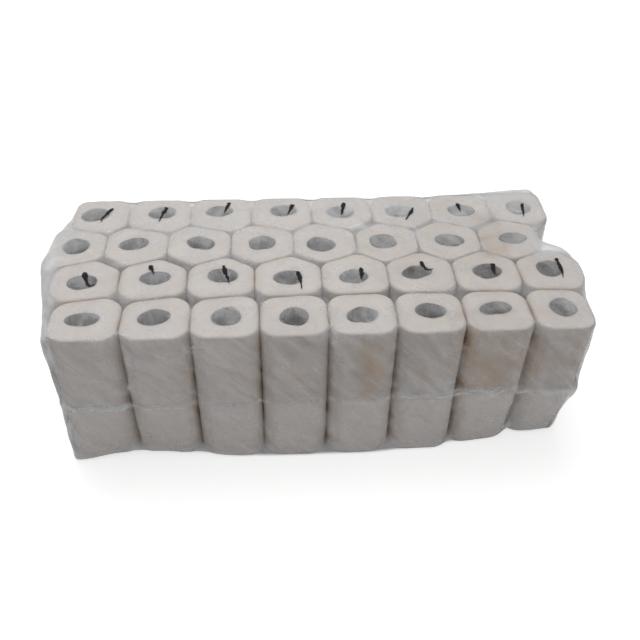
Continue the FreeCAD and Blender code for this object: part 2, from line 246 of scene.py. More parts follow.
def finish_piece(piece, slot_name, *nodes):
    """Slumps a piece with the pack, which it rides on, and hides the CAD nodes that it stands for.
    slot_name is not used.
    """
    set_points(piece.data, bowed(points_of(piece.data)))
    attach(piece, BODY)
    if nodes:
        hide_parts(*nodes)


def add_object(name, data):
    piece = bpy.data.objects.new(name, data)
    bpy.context.scene.collection.objects.link(piece)
    return piece


def copy_piece(blank, name):
    piece = add_object(name, blank.data.copy())
    piece.data.name = name
    return piece


def remove_piece(piece):
    mesh = piece.data
    bpy.data.objects.remove(piece)
    bpy.data.meshes.remove(mesh)


def ripples(points, lengths, seed, count=14):
    """Smooth random waves of about unit height, with wavelengths in the given range."""
    dice = np.random.default_rng(seed)
    total = np.zeros(len(points))
    for _ in range(count):
        way = dice.normal(size=points.shape[1])
        way *= 2 * math.pi / (np.linalg.norm(way) * dice.uniform(*lengths))
        total += np.sin(points @ way + dice.uniform(0, 2 * math.pi))
    return total / math.sqrt(count / 2)


def smooth_step(low, high, value):
    """Rises from 0 to 1 between low and high, or falls if low is the higher of the two."""
    t = np.clip((value - low) / (high - low), 0, 1)
    return t * t * (3 - 2 * t)


def fade(value, middle, width):
    """1 where a value is at the middle, falling to 0 on both sides of it."""
    return np.exp(-(((value - middle) / width) ** 2))


def ways_at(bearing):
    """Unit steps in plan, one for each bearing."""
    return np.stack([np.cos(bearing), np.sin(bearing)], 1)


def at_bearing(bearing, values):
    """Values given at the points round a roll, read at any bearing."""
    return np.interp(bearing, BEARINGS, values, period=2 * math.pi)


def past_ring(away, reach):
    """How far points in plan are outside a ring round 0, less than 0 inside it."""
    bearing = np.arctan2(away[..., 1], away[..., 0])
    return np.hypot(away[..., 0], away[..., 1]) - at_bearing(bearing, reach)


def round_places(mesh):
    """The points of an upright blank, as bearing, radius and share of its height."""
    x, y, z = points_of(mesh).T
    return np.arctan2(y, x), np.hypot(x, y), z / z.max()


# ---------------------------------------------------------------- the pressed shapes in the frame

def ring_reach(loop, middle):
    """How far a convex loop reaches from its middle at each bearing."""
    following = np.roll(loop, -1, axis=0)
    steps = np.linspace(0, 1, 24, endpoint=False)[:, None, None]
    dense = (loop + (following - loop) * steps).reshape(-1, 2) - middle
    bearing = np.arctan2(dense[:, 1], dense[:, 0])
    order = np.argsort(bearing)
    reach = np.hypot(dense[:, 0], dense[:, 1])[order]
    return np.interp(BEARINGS, bearing[order], reach, period=2 * math.pi)


def blur_ring(values, width):
    """Softens values round a closed ring. width is in steps of the ring."""
    count = len(values)
    offset = np.arange(count)
    offset = np.minimum(offset, count - offset)
    kernel = np.exp(-0.5 * (offset / width) ** 2)
    kernel /= kernel.sum()
    return np.real(np.fft.ifft(np.fft.fft(values) * np.fft.fft(kernel)))


def cad_corners(name):
    """The corners of a CAD node, each of them once."""
    return np.unique(np.round(points_of(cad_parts[name].data), 6), axis=0)


class Pressed:
    """The outline, bore and lean of one packed roll, read from its CAD node."""

    def __init__(self, name):
        corners = cad_corners(f"roll_{name}")
        self.foot, self.top = corners[:, 2].min(), corners[:, 2].max()
        self.height = self.top - self.foot
        ends = [corners[np.abs(corners[:, 2] - z) < 1e-4][:, :2] for z in (self.top, self.foot)]
        hulls = [end[geometry.convex_hull_2d(end.tolist())] for end in ends]
        middles = [(hull.min(0) + hull.max(0)) / 2 for hull in hulls]
        self.middle = middles[0]
        self.lean = middles[1] - middles[0]  # how far the foot stands from under the top
        self.hull = hulls[0]
        self.reach = ring_reach(self.hull, self.middle)
        self.find_bore(ends[0], SEED + ROLLS.index(name))

    def find_bore(self, end, seed):
        """The bore as a soft oval, a little uneven, as long and wide as the CAD node's."""
        bore = end[np.hypot(*(end - self.middle).T) < BORE_WITHIN]
        apart = np.hypot(*(bore[:, None] - bore[None]).transpose(2, 0, 1))
        first, last = np.unravel_index(apart.argmax(), apart.shape)
        along = (bore[last] - bore[first]) / apart.max()
        along *= math.copysign(1, along[0])
        axes = np.stack([along, (-along[1], along[0])])
        spread = bore @ axes.T
        half = np.ptp(spread, axis=0) / 2 * (0.92, 1.05)  # no pointed ends, but a fuller middle
        self.bore_middle = (spread.min(0) + spread.max(0)) / 2 @ axes + (0, BORE_SET_BACK)
        ways = ways_at(BEARINGS - math.atan2(along[1], along[0]))
        self.bore_reach = 1 / np.hypot(*(ways / half).T)
        self.bore_reach *= 1 + 0.035 * ripples(ways, (1.1, 2.6), seed)

    def outline(self):
        return self.middle + ways_at(BEARINGS) * self.reach[:, None]

    def clearance(self, points):
        """How far points in plan are outside this roll's outline, less than 0 inside it."""
        return past_ring(points - self.middle, self.reach)

    def inside_bore(self, points):
        """How far points in plan are inside the bore's edge, less than 0 outside it."""
        return -past_ring(points - self.bore_middle, self.bore_reach)

    def neighbours(self, rolls):
        """The other rolls that stand next to this one."""
        beside = [other for other in rolls.values() if other is not self]
        return [other for other in beside if np.hypot(*(other.middle - self.middle)) < NEIGHBOUR]

    def stand(self, plan, level):
        """Points of an upright roll, given in plan and by height over the foot, made to lean."""
        plan = plan + self.lean * (1 - level / self.height)[:, None]
        return np.hstack([plan, (self.foot + level)[:, None]])


def wrap_ring():
    """The film's plan: the outer corners of its CAD node's top, in order round the pack."""
    corners = cad_corners("film_wrap")
    ring = corners[corners[:, 2] > corners[:, 2].max() - 1e-5][:, :2]
    half = ring.max(0)
    return ring[np.argsort(np.arctan2(ring[:, 1] / half[1], ring[:, 0] / half[0]))]


def room_to_ring(ring, start, ways):
    """How far it is from a point to a closed ring, in each direction."""
    edge = np.roll(ring, -1, axis=0) - ring
    away = ring - start
    turn = ways[:, None, 0] * edge[None, :, 1] - ways[:, None, 1] * edge[None, :, 0]
    turn = np.where(np.abs(turn) < 1e-12, 1e-12, turn)
    far = (away[:, 0] * edge[:, 1] - away[:, 1] * edge[:, 0])[None, :] / turn
    share = (away[None, :, 0] * ways[:, None, 1] - away[None, :, 1] * ways[:, None, 0]) / turn
    return np.where((share >= 0) & (share <= 1) & (far > 0), far, 1.0).min(1)


def widest_split(hull, other):
    """The direction in which two convex outlines stand furthest apart, and how far."""
    toward = other.mean(0) - hull.mean(0)
    ways = ways_at(math.atan2(toward[1], toward[0]) + np.radians(np.linspace(-50, 50, 201)))
    apart = (other @ ways.T).min(0) - (hull @ ways.T).max(0)
    return ways[apart.argmax()], apart.max()


def swell_corners(name, rolls, ring):
    """Lets a roll's paper fill out towards the flats that its neighbours and the film press.

    The flats are drawn in by the corner's radius, and the outline runs that far outside them.
    """
    pressed, radius = rolls[name], CORNER_RADIUS[name[0]]
    hull = pressed.hull
    ways = ways_at(np.linspace(-math.pi, math.pi, 720, endpoint=False))
    flats = [(way, (hull @ way).max() + CORNER_SWELL) for way in ways[::15]]
    for beside in pressed.neighbours(rolls):
        for drift in (np.zeros(2), beside.lean - pressed.lean):  # at the top and the foot
            way, apart = widest_split(hull, beside.hull + drift)
            grow = (apart - ROLL_GAP) / 2
            if grow < CORNER_SWELL:
                grow = min(grow, LOOSE_SWELL)
            flats.append((way, (hull @ way).max() + grow))
    for side, way in (("a", (0, -1)), ("d", (0, 1)), ("1", (-1, 0)), ("8", (1, 0))):
        if side in name:  # it stands at the pack's own outside
            flats.append((np.array(way), (hull @ way).max()))
    normals = np.array([way for way, _ in flats])
    room = np.array([far for _, far in flats]) - radius - normals @ pressed.middle
    facing = ways @ normals.T
    inset = np.where(facing > 0.001, room / np.maximum(facing, 0.001), 1.0).min(1)
    inset = ways * inset[:, None]
    rounded = inset[(inset @ ways.T).argmax(0)] + ways * radius
    reach = ring_reach(rounded, np.zeros(2))
    for start in (pressed.middle, pressed.middle + pressed.lean):
        limit = room_to_ring(ring, start, ways_at(BEARINGS)) - INSIDE_WRAP
        reach = np.minimum(reach, np.maximum(limit, pressed.reach))
    return blur_ring(reach, 0.8) - PRESSED_APART


PRESSED = {name: Pressed(name) for name in ROLLS}
SWOLLEN = {name: swell_corners(name, PRESSED, wrap_ring()) for name in ROLLS}
for roll, swollen in SWOLLEN.items():
    PRESSED[roll].reach = swollen


# ---------------------------------------------------------------- settings

class RollSettings(bpy.types.PropertyGroup):
    """Sizes and colours of the paper towel rolls."""

    rim: bpy.props.FloatProperty(
        name="Rim", description="Softened edge of a roll's ends", default=4.0 * MM,
        min=0.001, max=0.01, unit="LENGTH")
    board: bpy.props.FloatProperty(
        name="Core wall", description="Thickness of the cardboard core", default=1.1 * MM,
        min=0.0005, max=0.003, unit="LENGTH")
    slack: bpy.props.FloatProperty(
        name="Unevenness", description="Height of the dents in a wound roll",
        default=0.55 * MM, min=0, max=0.002, unit="LENGTH")
    tissue: bpy.props.StringProperty(
        # also the colour of the painted shade near the gaps between rolls
        name="Tissue", description="Colour of the tissue, as sRGB hex", default="E8E1DC")
    stain_and_gap_shade: bpy.props.StringProperty(
        name="Stain", description="Colour of brown marks and of the light between rolls",
        default="B79D7F")
    cardboard: bpy.props.StringProperty(
        name="Core board", description="Colour of the recycled grey board", default="746D6F")


class WrapSettings(bpy.types.PropertyGroup):
    """Sizes and colours of the film."""

    rim: bpy.props.FloatProperty(
        name="Rim", description="Curve of the film over the ends of the rolls",
        default=4.4 * MM, min=0.002, max=0.01, unit="LENGTH")
    seam: bpy.props.FloatProperty(
        name="Seam height", description="Height of the weld between upper and lower film",
        default=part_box("film_wrap")[0].z + WELD_UP, min=0.05, max=0.2, unit="LENGTH")
    band: bpy.props.FloatProperty(
        name="Seam band", description="Height of the doubled film at the weld",
        default=8 * MM, min=0.002, max=0.02, unit="LENGTH")
    film: bpy.props.StringProperty(
        name="Film", description="Colour of the film's haze, as sRGB hex", default="EFEFF0")
    pen: bpy.props.StringProperty(
        name="Pen", description="Colour of the felt pen, as sRGB hex", default="0C0B0D")


class StageSettings(bpy.types.PropertyGroup):
    """The floor, the lamps and the camera."""

    top_light: bpy.props.FloatProperty(
        name="Top light", description="Power of the soft lamp above", default=38, min=0)
    front_light: bpy.props.FloatProperty(
        name="Front light", description="Power of the soft lamp in front", default=0.3, min=0)
    spark_light: bpy.props.FloatProperty(
        name="Spark light", description="Power of the small lamp that glints in the film",
        default=5.2, min=0)
    sky: bpy.props.FloatProperty(
        name="Sky", description="Strength of the light from all round", default=0.36, min=0)
    lens: bpy.props.FloatProperty(
        name="Lens", description="Focal length on a 36 mm sensor", default=44.27, min=1)


# ---------------------------------------------------------------- materials

def stained_and_gap_shaded(tree, colour, stain_and_shade_colour):
    """Mixes a colour with the brown of the stains, which near the gaps between rolls is painted
    shade, and with a darker brown, painted shade, deep in the gaps where rolls touch.
    """
    mark = add_node(tree, "ShaderNodeAttribute", attribute_name="stain_and_gap_shade")
    place = add_node(tree, "ShaderNodeTexCoord").outputs["Object"]
    blot = add_node(tree, "ShaderNodeTexNoise", {
        "Vector": place, "Scale": 38.0, "Detail": 5.0, "Roughness": 0.62})
    spread = add_node(tree, "ShaderNodeMapRange", {
        "Value": blot.outputs["Fac"], "From Min": 0.3, "From Max": 0.7, "To Min": 0.45,
        "To Max": 1.2})
    amount = add_node(tree, "ShaderNodeMath", {
        0: mark.outputs["Fac"], 1: spread.outputs["Result"]},
        operation="MULTIPLY", use_clamp=True)
    mix = add_node(tree, "ShaderNodeMix", {
        "Factor": amount.outputs[0], 6: colour, 7: stain_and_shade_colour}, data_type="RGBA")
    # painted shade: a dark brown deep in the narrow gaps where rolls touch
    painted_gap_shade = add_node(tree, "ShaderNodeAttribute", attribute_name="painted_gap_shade")
    gap_shaded = add_node(tree, "ShaderNodeMix", {
        "Factor": painted_gap_shade.outputs["Fac"], 6: mix.outputs[2], 7: srgb("85684C")},
        data_type="RGBA")
    return gap_shaded.outputs[2]


def embossed_tissue(tissue, stain_and_shade_colour):
    """Two-ply towel tissue, creped and embossed: matt, faintly mottled, with 5 mm dimples.

    Soft slanting bands of painted shade, 14 mm apart, stand for the folds that the tight film
    presses into it. The painted shade is darkest on the upper front and to the right.
    The fibres scatter light under the surface, so edges look soft rather than shaded.
    """
    material, tree, output = new_material("embossed_tissue")
    wound = add_node(tree, "ShaderNodeUVMap", uv_map="wound").outputs["UV"]
    place = add_node(tree, "ShaderNodeTexCoord").outputs["Object"]
    mottle = add_node(tree, "ShaderNodeTexNoise", {
        "Vector": place, "Scale": 55.0, "Detail": 6.0, "Roughness": 0.6})
    shade = add_node(tree, "ShaderNodeMix", {
        "Factor": mottle.outputs["Fac"], 6: srgb("D8D1CC"), 7: srgb(tissue)},
        data_type="RGBA")
    pulled = add_node(tree, "ShaderNodeMapping", {
        "Vector": place, "Rotation": PULL_TURN, "Scale": (0.014, 0.05, 0.07)},
        vector_type="TEXTURE")
    fold = add_node(tree, "ShaderNodeTexNoise", {
        "Vector": pulled.outputs["Vector"], "Scale": 1.0, "Detail": 2.5, "Roughness": 0.55,
        "Distortion": 0.7})
    shadow = add_node(tree, "ShaderNodeMapRange", {
        "Value": fold.outputs["Fac"], "From Min": 0.3, "From Max": 0.66, "To Min": 0.54,
        "To Max": 0.9})
    depth = add_node(tree, "ShaderNodeAttribute", attribute_name="fold_shade")
    # painted shade: slanting bands darken the tissue's colour
    fold_shaded = add_node(tree, "ShaderNodeMix", {
        "Factor": depth.outputs["Fac"], 6: shade.outputs[2], 7: shadow.outputs["Result"]},
        data_type="RGBA", blend_type="MULTIPLY")
    dimple = add_node(tree, "ShaderNodeTexVoronoi", {
        "Vector": wound, "Scale": 200.0, "Randomness": 0.22}, feature="F1")
    crepe = add_node(tree, "ShaderNodeTexWave", {
        "Vector": wound, "Scale": 330.0, "Distortion": 3.5, "Detail": 2.0,
        "Detail Scale": 1.4}, bands_direction="Y")
    slack = add_node(tree, "ShaderNodeTexNoise", {
        "Vector": place, "Scale": 24.0, "Detail": 4.0, "Distortion": 1.1})
    first = add_node(tree, "ShaderNodeBump", {
        "Strength": 0.35, "Distance": 0.0012, "Height": dimple.outputs["Distance"]})
    second = add_node(tree, "ShaderNodeBump", {
        "Strength": 0.16, "Distance": 0.0005, "Height": crepe.outputs["Fac"],
        "Normal": first.outputs["Normal"]})
    third = add_node(tree, "ShaderNodeBump", {
        "Strength": 0.5, "Distance": 0.006, "Height": slack.outputs["Fac"],
        "Normal": second.outputs["Normal"]})
    shader = add_node(tree, "ShaderNodeBsdfPrincipled", {
        "Base Color": stained_and_gap_shaded(tree, fold_shaded.outputs[2], srgb(stain_and_shade_colour)),
        "Roughness": 0.93, "Specular IOR Level": 0.2, "Normal": third.outputs["Normal"],
        "Subsurface Weight": 0.5, "Subsurface Radius": (1.0, 0.9, 0.8),
        "Subsurface Scale": 0.006, "Sheen Weight": 0.12, "Sheen Roughness": 0.6})
    tree.links.new(shader.outputs["BSDF"], output.inputs["Surface"])
    return material


def wound_edge(tissue, stain_and_shade_colour):
    """The sawn end of wound tissue: matt, with the turns of paper as faint rings.

    A real roll has some 250 turns. They are drawn four times as coarse, so that they show.
    """
    material, tree, output = new_material("wound_tissue_edge")
    wind = add_node(tree, "ShaderNodeAttribute", attribute_name="wind")
    place = add_node(tree, "ShaderNodeTexCoord").outputs["Object"]
    wander = add_node(tree, "ShaderNodeTexNoise", {
        "Vector": place, "Scale": 30.0, "Detail": 3.0})
    turn = add_node(tree, "ShaderNodeMath", {
        0: wander.outputs["Fac"], 1: 0.05, 2: wind.outputs["Fac"]}, operation="MULTIPLY_ADD")
    line = add_node(tree, "ShaderNodeCombineXYZ", {"X": turn.outputs[0]})
    rings = add_node(tree, "ShaderNodeTexWave", {
        "Vector": line.outputs["Vector"], "Scale": 9.5, "Distortion": 1.2, "Detail": 3.0,
        "Detail Scale": 3.0})
    fine = add_node(tree, "ShaderNodeTexNoise", {
        "Vector": place, "Scale": 420.0, "Detail": 4.0, "Roughness": 0.7})
    broad = add_node(tree, "ShaderNodeTexNoise", {"Vector": place, "Scale": 26.0, "Detail": 4.0})
    ringed = add_node(tree, "ShaderNodeMix", {
        "Factor": rings.outputs["Fac"], 6: srgb("DBD4CE"), 7: srgb(tissue)},
        data_type="RGBA")
    speck = add_node(tree, "ShaderNodeMix", {
        "Factor": fine.outputs["Fac"], 6: ringed.outputs[2], 7: srgb("ECE6E0")},
        data_type="RGBA")
    shade = add_node(tree, "ShaderNodeMapRange", {
        "Value": broad.outputs["Fac"], "From Min": 0.3, "From Max": 0.7, "To Min": 0.93,
        "To Max": 1.0})
    toned = add_node(tree, "ShaderNodeMix", {
        "Factor": 1.0, 6: speck.outputs[2], 7: shade.outputs["Result"]},
        data_type="RGBA", blend_type="MULTIPLY")
    first = add_node(tree, "ShaderNodeBump", {
        "Strength": 0.35, "Distance": 0.0006, "Height": rings.outputs["Fac"]})
    second = add_node(tree, "ShaderNodeBump", {
        "Strength": 0.3, "Distance": 0.0005, "Height": fine.outputs["Fac"],
        "Normal": first.outputs["Normal"]})
    shader = add_node(tree, "ShaderNodeBsdfPrincipled", {
        "Base Color": stained_and_gap_shaded(tree, toned.outputs[2], srgb(stain_and_shade_colour)),
        "Roughness": 0.96, "Specular IOR Level": 0.15, "Normal": second.outputs["Normal"],
        "Subsurface Weight": 0.5, "Subsurface Radius": (1.0, 0.9, 0.8),
        "Subsurface Scale": 0.006})
    tree.links.new(shader.outputs["BSDF"], output.inputs["Surface"])
    return material


def core_board(colour):
    """Recycled grey board, wound in a spiral: matt and speckled, with the winding's seams."""
    material, tree, output = new_material("grey_core_board")
    wound = add_node(tree, "ShaderNodeUVMap", uv_map="wound").outputs["UV"]
    place = add_node(tree, "ShaderNodeTexCoord").outputs["Object"]
    spiral = add_node(tree, "ShaderNodeTexWave", {
        "Vector": wound, "Scale": 3.4, "Distortion": 0.4}, bands_direction="DIAGONAL",
        wave_profile="SAW")
    pulp = add_node(tree, "ShaderNodeTexNoise", {
        "Vector": place, "Scale": 260.0, "Detail": 5.0, "Roughness": 0.65})
    blot = add_node(tree, "ShaderNodeTexNoise", {
        "Vector": place, "Scale": 70.0, "Detail": 3.0, "Distortion": 0.6})
    speckled = add_node(tree, "ShaderNodeMix", {
        "Factor": pulp.outputs["Fac"], 6: srgb("6A6364"), 7: srgb(colour)}, data_type="RGBA")
    clouded = add_node(tree, "ShaderNodeMix", {
        "Factor": blot.outputs["Fac"], 6: speckled.outputs[2], 7: srgb("8E8688")},
        data_type="RGBA")
    drawn = add_node(tree, "ShaderNodeMapping", {
        "Vector": wound, "Scale": (0.0045, 0.05, 1.0)}, vector_type="TEXTURE")
    scuff = add_node(tree, "ShaderNodeTexNoise", {
        "Vector": drawn.outputs["Vector"], "Scale": 1.0, "Detail": 4.0, "Roughness": 0.65,
        "Distortion": 0.5})
    worn = add_node(tree, "ShaderNodeMapRange", {
        "Value": scuff.outputs["Fac"], "From Min": 0.36, "From Max": 0.64, "To Min": 0.6,
        "To Max": 1.25})
    streaked = add_node(tree, "ShaderNodeMix", {
        "Factor": 1.0, 6: clouded.outputs[2], 7: worn.outputs["Result"]},
        data_type="RGBA", blend_type="MULTIPLY")
    seam = add_node(tree, "ShaderNodeValToRGB", {"Fac": spiral.outputs["Fac"]})
    seam.color_ramp.elements[0].position = 0.0
    seam.color_ramp.elements[0].color = (0.55, 0.55, 0.55, 1)
    seam.color_ramp.elements[1].position = 0.06
    seamed = add_node(tree, "ShaderNodeMix", {
        "Factor": 1.0, 6: streaked.outputs[2], 7: seam.outputs["Color"]},
        data_type="RGBA", blend_type="MULTIPLY")
    bump = add_node(tree, "ShaderNodeBump", {
        "Strength": 0.4, "Distance": 0.001, "Height": blot.outputs["Fac"]})
    shader = add_node(tree, "ShaderNodeBsdfPrincipled", {
        "Base Color": seamed.outputs[2], "Roughness": 0.85, "Specular IOR Level": 0.25,
        "Normal": bump.outputs["Normal"]})
    tree.links.new(shader.outputs["BSDF"], output.inputs["Surface"])
    return material


def wrap_film(colour):
    """Blown polyethylene film, shrunk tight: clear, but milky where it creases or doubles.

    The haze is in the film's own attribute. It lies in slanting streaks, 17 mm apart, along
    the pull of the film, with fine cross wrinkles, 4 mm apart, that glint where they are lit.
    """
    material, tree, output = new_material("polyethylene_film")
    place = add_node(tree, "ShaderNodeTexCoord").outputs["Object"]
    haze = add_node(tree, "ShaderNodeAttribute", attribute_name="haze")
    pulled = add_node(tree, "ShaderNodeMapping", {
        "Vector": place, "Rotation": PULL_TURN, "Scale": (0.017, 0.05, 0.1)},
        vector_type="TEXTURE")
    streak = add_node(tree, "ShaderNodeTexNoise", {
        "Vector": pulled.outputs["Vector"], "Scale": 1.0, "Detail": 1.5, "Roughness": 0.5,
        "Distortion": 0.6})
    crossed = add_node(tree, "ShaderNodeMapping", {
        "Vector": place, "Rotation": (0.1, 0.06, 0.3), "Scale": (0.03, 0.02, 0.004)},
        vector_type="TEXTURE")
    wrinkle = add_node(tree, "ShaderNodeTexNoise", {
        "Vector": crossed.outputs["Vector"], "Scale": 1.0, "Detail": 4.0, "Roughness": 0.6,
        "Distortion": 1.0})
    cloud = add_node(tree, "ShaderNodeTexNoise", {
        "Vector": place, "Scale": 42.0, "Detail": 5.0, "Roughness": 0.6, "Distortion": 0.8})
    streaky = add_node(tree, "ShaderNodeMapRange", {
        "Value": streak.outputs["Fac"], "From Min": 0.34, "From Max": 0.68, "To Min": -0.06,
        "To Max": 0.09})
    patchy = add_node(tree, "ShaderNodeMapRange", {
        "Value": cloud.outputs["Fac"], "From Min": 0.3, "From Max": 0.7, "To Min": -0.04,
        "To Max": 0.04})
    milky = add_node(tree, "ShaderNodeMath", {
        0: haze.outputs["Fac"], 1: streaky.outputs["Result"]}, operation="ADD")
    mottled = add_node(tree, "ShaderNodeMath", {
        0: milky.outputs[0], 1: patchy.outputs["Result"]}, operation="ADD")
    ridge = add_node(tree, "ShaderNodeMapRange", {
        "Value": wrinkle.outputs["Fac"], "From Min": 0.56, "From Max": 0.74, "To Min": 0.0,
        "To Max": 0.07})
    wrinkled = add_node(tree, "ShaderNodeMath", {
        0: mottled.outputs[0], 1: ridge.outputs["Result"]}, operation="ADD")
    crumple = add_node(tree, "ShaderNodeAttribute", attribute_name="crumple")
    crinkle = add_node(tree, "ShaderNodeTexNoise", {
        "Vector": place, "Scale": 300.0, "Detail": 2.0, "Roughness": 0.5, "Distortion": 1.5})
    crisp = add_node(tree, "ShaderNodeMapRange", {
        "Value": crinkle.outputs["Fac"], "From Min": 0.48, "From Max": 0.66, "To Min": 0.0,
        "To Max": 0.6})
    crumpled = add_node(tree, "ShaderNodeMath", {
        0: crumple.outputs["Fac"], 1: crisp.outputs["Result"], 2: wrinkled.outputs[0]},
        operation="MULTIPLY_ADD")
    slope = add_node(tree, "ShaderNodeFresnel", {"IOR": 1.5})
    solid = add_node(tree, "ShaderNodeMath", {
        0: slope.outputs["Fac"], 1: 0.45, 2: crumpled.outputs[0]},
        operation="MULTIPLY_ADD", use_clamp=True)
    first = add_node(tree, "ShaderNodeBump", {
        "Strength": 0.3, "Distance": 0.004, "Height": streak.outputs["Fac"]})
    second = add_node(tree, "ShaderNodeBump", {
        "Strength": 0.12, "Distance": 0.0012, "Height": wrinkle.outputs["Fac"],
        "Normal": first.outputs["Normal"]})
    third = add_node(tree, "ShaderNodeBump", {
        "Strength": crumple.outputs["Fac"], "Distance": 0.002,
        "Height": crinkle.outputs["Fac"], "Normal": second.outputs["Normal"]})
    scuffed = add_node(tree, "ShaderNodeMath", {
        0: crumple.outputs["Fac"], 1: 0.12, 2: 0.14}, operation="MULTIPLY_ADD")
    shader = add_node(tree, "ShaderNodeBsdfPrincipled", {
        "Base Color": srgb(colour), "Roughness": scuffed.outputs[0], "IOR": 1.51,
        "Alpha": solid.outputs[0], "Normal": third.outputs["Normal"]})
    tree.links.new(shader.outputs["BSDF"], output.inputs["Surface"])
    return material


def felt_pen(colour):
    """Dried black marker ink on film: matt and dense, and thin where the stroke runs dry."""
    material, tree, output = new_material("felt_pen_ink")
    place = add_node(tree, "ShaderNodeTexCoord").outputs["Object"]
    streak = add_node(tree, "ShaderNodeTexNoise", {
        "Vector": place, "Scale": 420.0, "Detail": 4.0, "Roughness": 0.7})
    worn = add_node(tree, "ShaderNodeMix", {
        "Factor": streak.outputs["Fac"], 6: srgb(colour), 7: srgb("2B2A2C")},
        data_type="RGBA")
    bump = add_node(tree, "ShaderNodeBump", {
        "Strength": 0.2, "Distance": 0.0003, "Height": streak.outputs["Fac"]})
    shader = add_node(tree, "ShaderNodeBsdfPrincipled", {
        "Base Color": worn.outputs[2], "Roughness": 0.8, "Specular IOR Level": 0.15,
        "Normal": bump.outputs["Normal"]})
    tree.links.new(shader.outputs["BSDF"], output.inputs["Surface"])
    return material


def pale_floor():
    """A plain white floor. The camera sees it lit to white, with the pack's soft shadow.

    Under the pack it is painted dark, a painted shadow, and isn't lifted, so that no light shows
    between the feet of the rolls. The edge of the painted shadow is set back where the pack's
    feet are. Its limits are in metres from the middle of the pack.
    """
    material, tree, output = new_material("white_floor")
    place = add_node(tree, "ShaderNodeTexCoord").outputs["Object"]
    apart = add_node(tree, "ShaderNodeSeparateXYZ", {"Vector": place})
    across = add_node(tree, "ShaderNodeMath", {0: apart.outputs["X"]}, operation="ABSOLUTE")
    slumped = add_node(tree, "ShaderNodeMapRange", {
        "Value": across.outputs[0], "From Min": 0.06, "From Max": 0.26, "To Min": 0.0,
        "To Max": 0.02}, interpolation_type="SMOOTHSTEP")
    leaning = add_node(tree, "ShaderNodeMapRange", {
        "Value": apart.outputs["X"], "From Min": 0.2, "From Max": 0.3, "To Min": 0.0,
        "To Max": 0.022}, interpolation_type="SMOOTHSTEP")
    set_back = add_node(tree, "ShaderNodeMath", {
        0: slumped.outputs["Result"], 1: leaning.outputs["Result"]}, operation="ADD")
    front_y = add_node(tree, "ShaderNodeMath", {
        0: apart.outputs["Y"], 1: set_back.outputs[0]}, operation="SUBTRACT")
    open_x = add_node(tree, "ShaderNodeMapRange", {
        "Value": across.outputs[0], "From Min": 0.335, "From Max": 0.352})
    open_front = add_node(tree, "ShaderNodeMapRange", {
        "Value": front_y.outputs[0], "From Min": -0.175, "From Max": -0.183})
    open_back = add_node(tree, "ShaderNodeMapRange", {
        "Value": apart.outputs["Y"], "From Min": 0.146, "From Max": 0.156})
    open_y = add_node(tree, "ShaderNodeMath", {
        0: open_front.outputs["Result"], 1: open_back.outputs["Result"]}, operation="MAXIMUM")
    outside_painted_shadow = add_node(tree, "ShaderNodeMath", {
        0: open_x.outputs["Result"], 1: open_y.outputs[0]}, operation="MAXIMUM")
    # painted shadow: under the pack the floor is a dark colour
    painted_shadow_tone = add_node(tree, "ShaderNodeMix", {
        "Factor": outside_painted_shadow.outputs[0], 6: srgb("5A5652"), 7: srgb("E8E8E8")}, data_type="RGBA")
    matt = add_node(tree, "ShaderNodeBsdfDiffuse", {"Color": painted_shadow_tone.outputs[2]})
    shown = add_node(tree, "ShaderNodeMath", {
        0: seen_directly(tree), 1: outside_painted_shadow.outputs[0]}, operation="MULTIPLY")
    lift = add_node(tree, "ShaderNodeMath", {0: shown.outputs[0], 1: 0.6},
                    operation="MULTIPLY")
    glow = add_node(tree, "ShaderNodeEmission", {"Strength": lift.outputs[0]})
    both = add_node(tree, "ShaderNodeAddShader", {
        0: matt.outputs["BSDF"], 1: glow.outputs["Emission"]})
    tree.links.new(both.outputs["Shader"], output.inputs["Surface"])
    return material


# ---------------------------------------------------------------- rolls and cores

# The rings of a blank, closer at its edges: their radii on an end, and how far those on the side
# are from the nearest end, in mm.
END_RINGS = (21, 22.5, 25, 28, 31.5, 35, 38.5, 41.5, 43.5, 44.7, 45.3, 45.9, 46.5, 47, 47.3)
SIDE_RINGS = (0.2, 0.5, 1.0, 1.6, 2.2, 2.8, 4.2, 7, 11)
SIDE_GAPS = 24  # even steps up the whole side, for the rings between those
BORE_RINGS = 23
CORE_SHORT = 0.8 * MM  # a core stops short of each end of its roll


def make_tube_blank(name, inner, outer, ends, sides):
    """A straight tube, drawn out ring by ring from the inner edge of its top."""
    deselect()
    bpy.ops.mesh.primitive_circle_add(
        vertices=AROUND, radius=inner, fill_type="NOTHING", location=(0, 0, BLANK_HEIGHT))
    blank = bpy.context.object
    blank.name = name
    bpy.ops.object.transform_apply(location=True, rotation=True, scale=True)
    bpy.ops.object.mode_set(mode="EDIT")
    bpy.ops.mesh.select_all(action="SELECT")
    radii = [inner, *ends, outer]
    heights = [BLANK_HEIGHT, *sides, 0]
    for before, after in zip(radii, radii[1:]):
        draw_ring(after / before, 0)
    for before, after in zip(heights, heights[1:]):
        draw_ring(1, after - before)
    radii.reverse()
    for before, after in zip(radii, radii[1:]):
        draw_ring(after / before, 0)
    bpy.ops.object.mode_set(mode="OBJECT")
    select_bore_edges(blank)
    bpy.ops.object.mode_set(mode="EDIT")
    bpy.ops.mesh.bridge_edge_loops(number_cuts=BORE_RINGS, interpolation="LINEAR")
    bpy.ops.object.mode_set(mode="OBJECT")
    face_outward()
    bpy.ops.object.shade_smooth()
    return blank


def draw_ring(growth, rise):
    """Draws the selected ring out into the next one."""
    bpy.ops.mesh.extrude_edges_move()
    if growth != 1:
        bpy.ops.transform.resize(value=(growth, growth, 1))
    if rise:
        bpy.ops.transform.translate(value=(0, 0, rise))


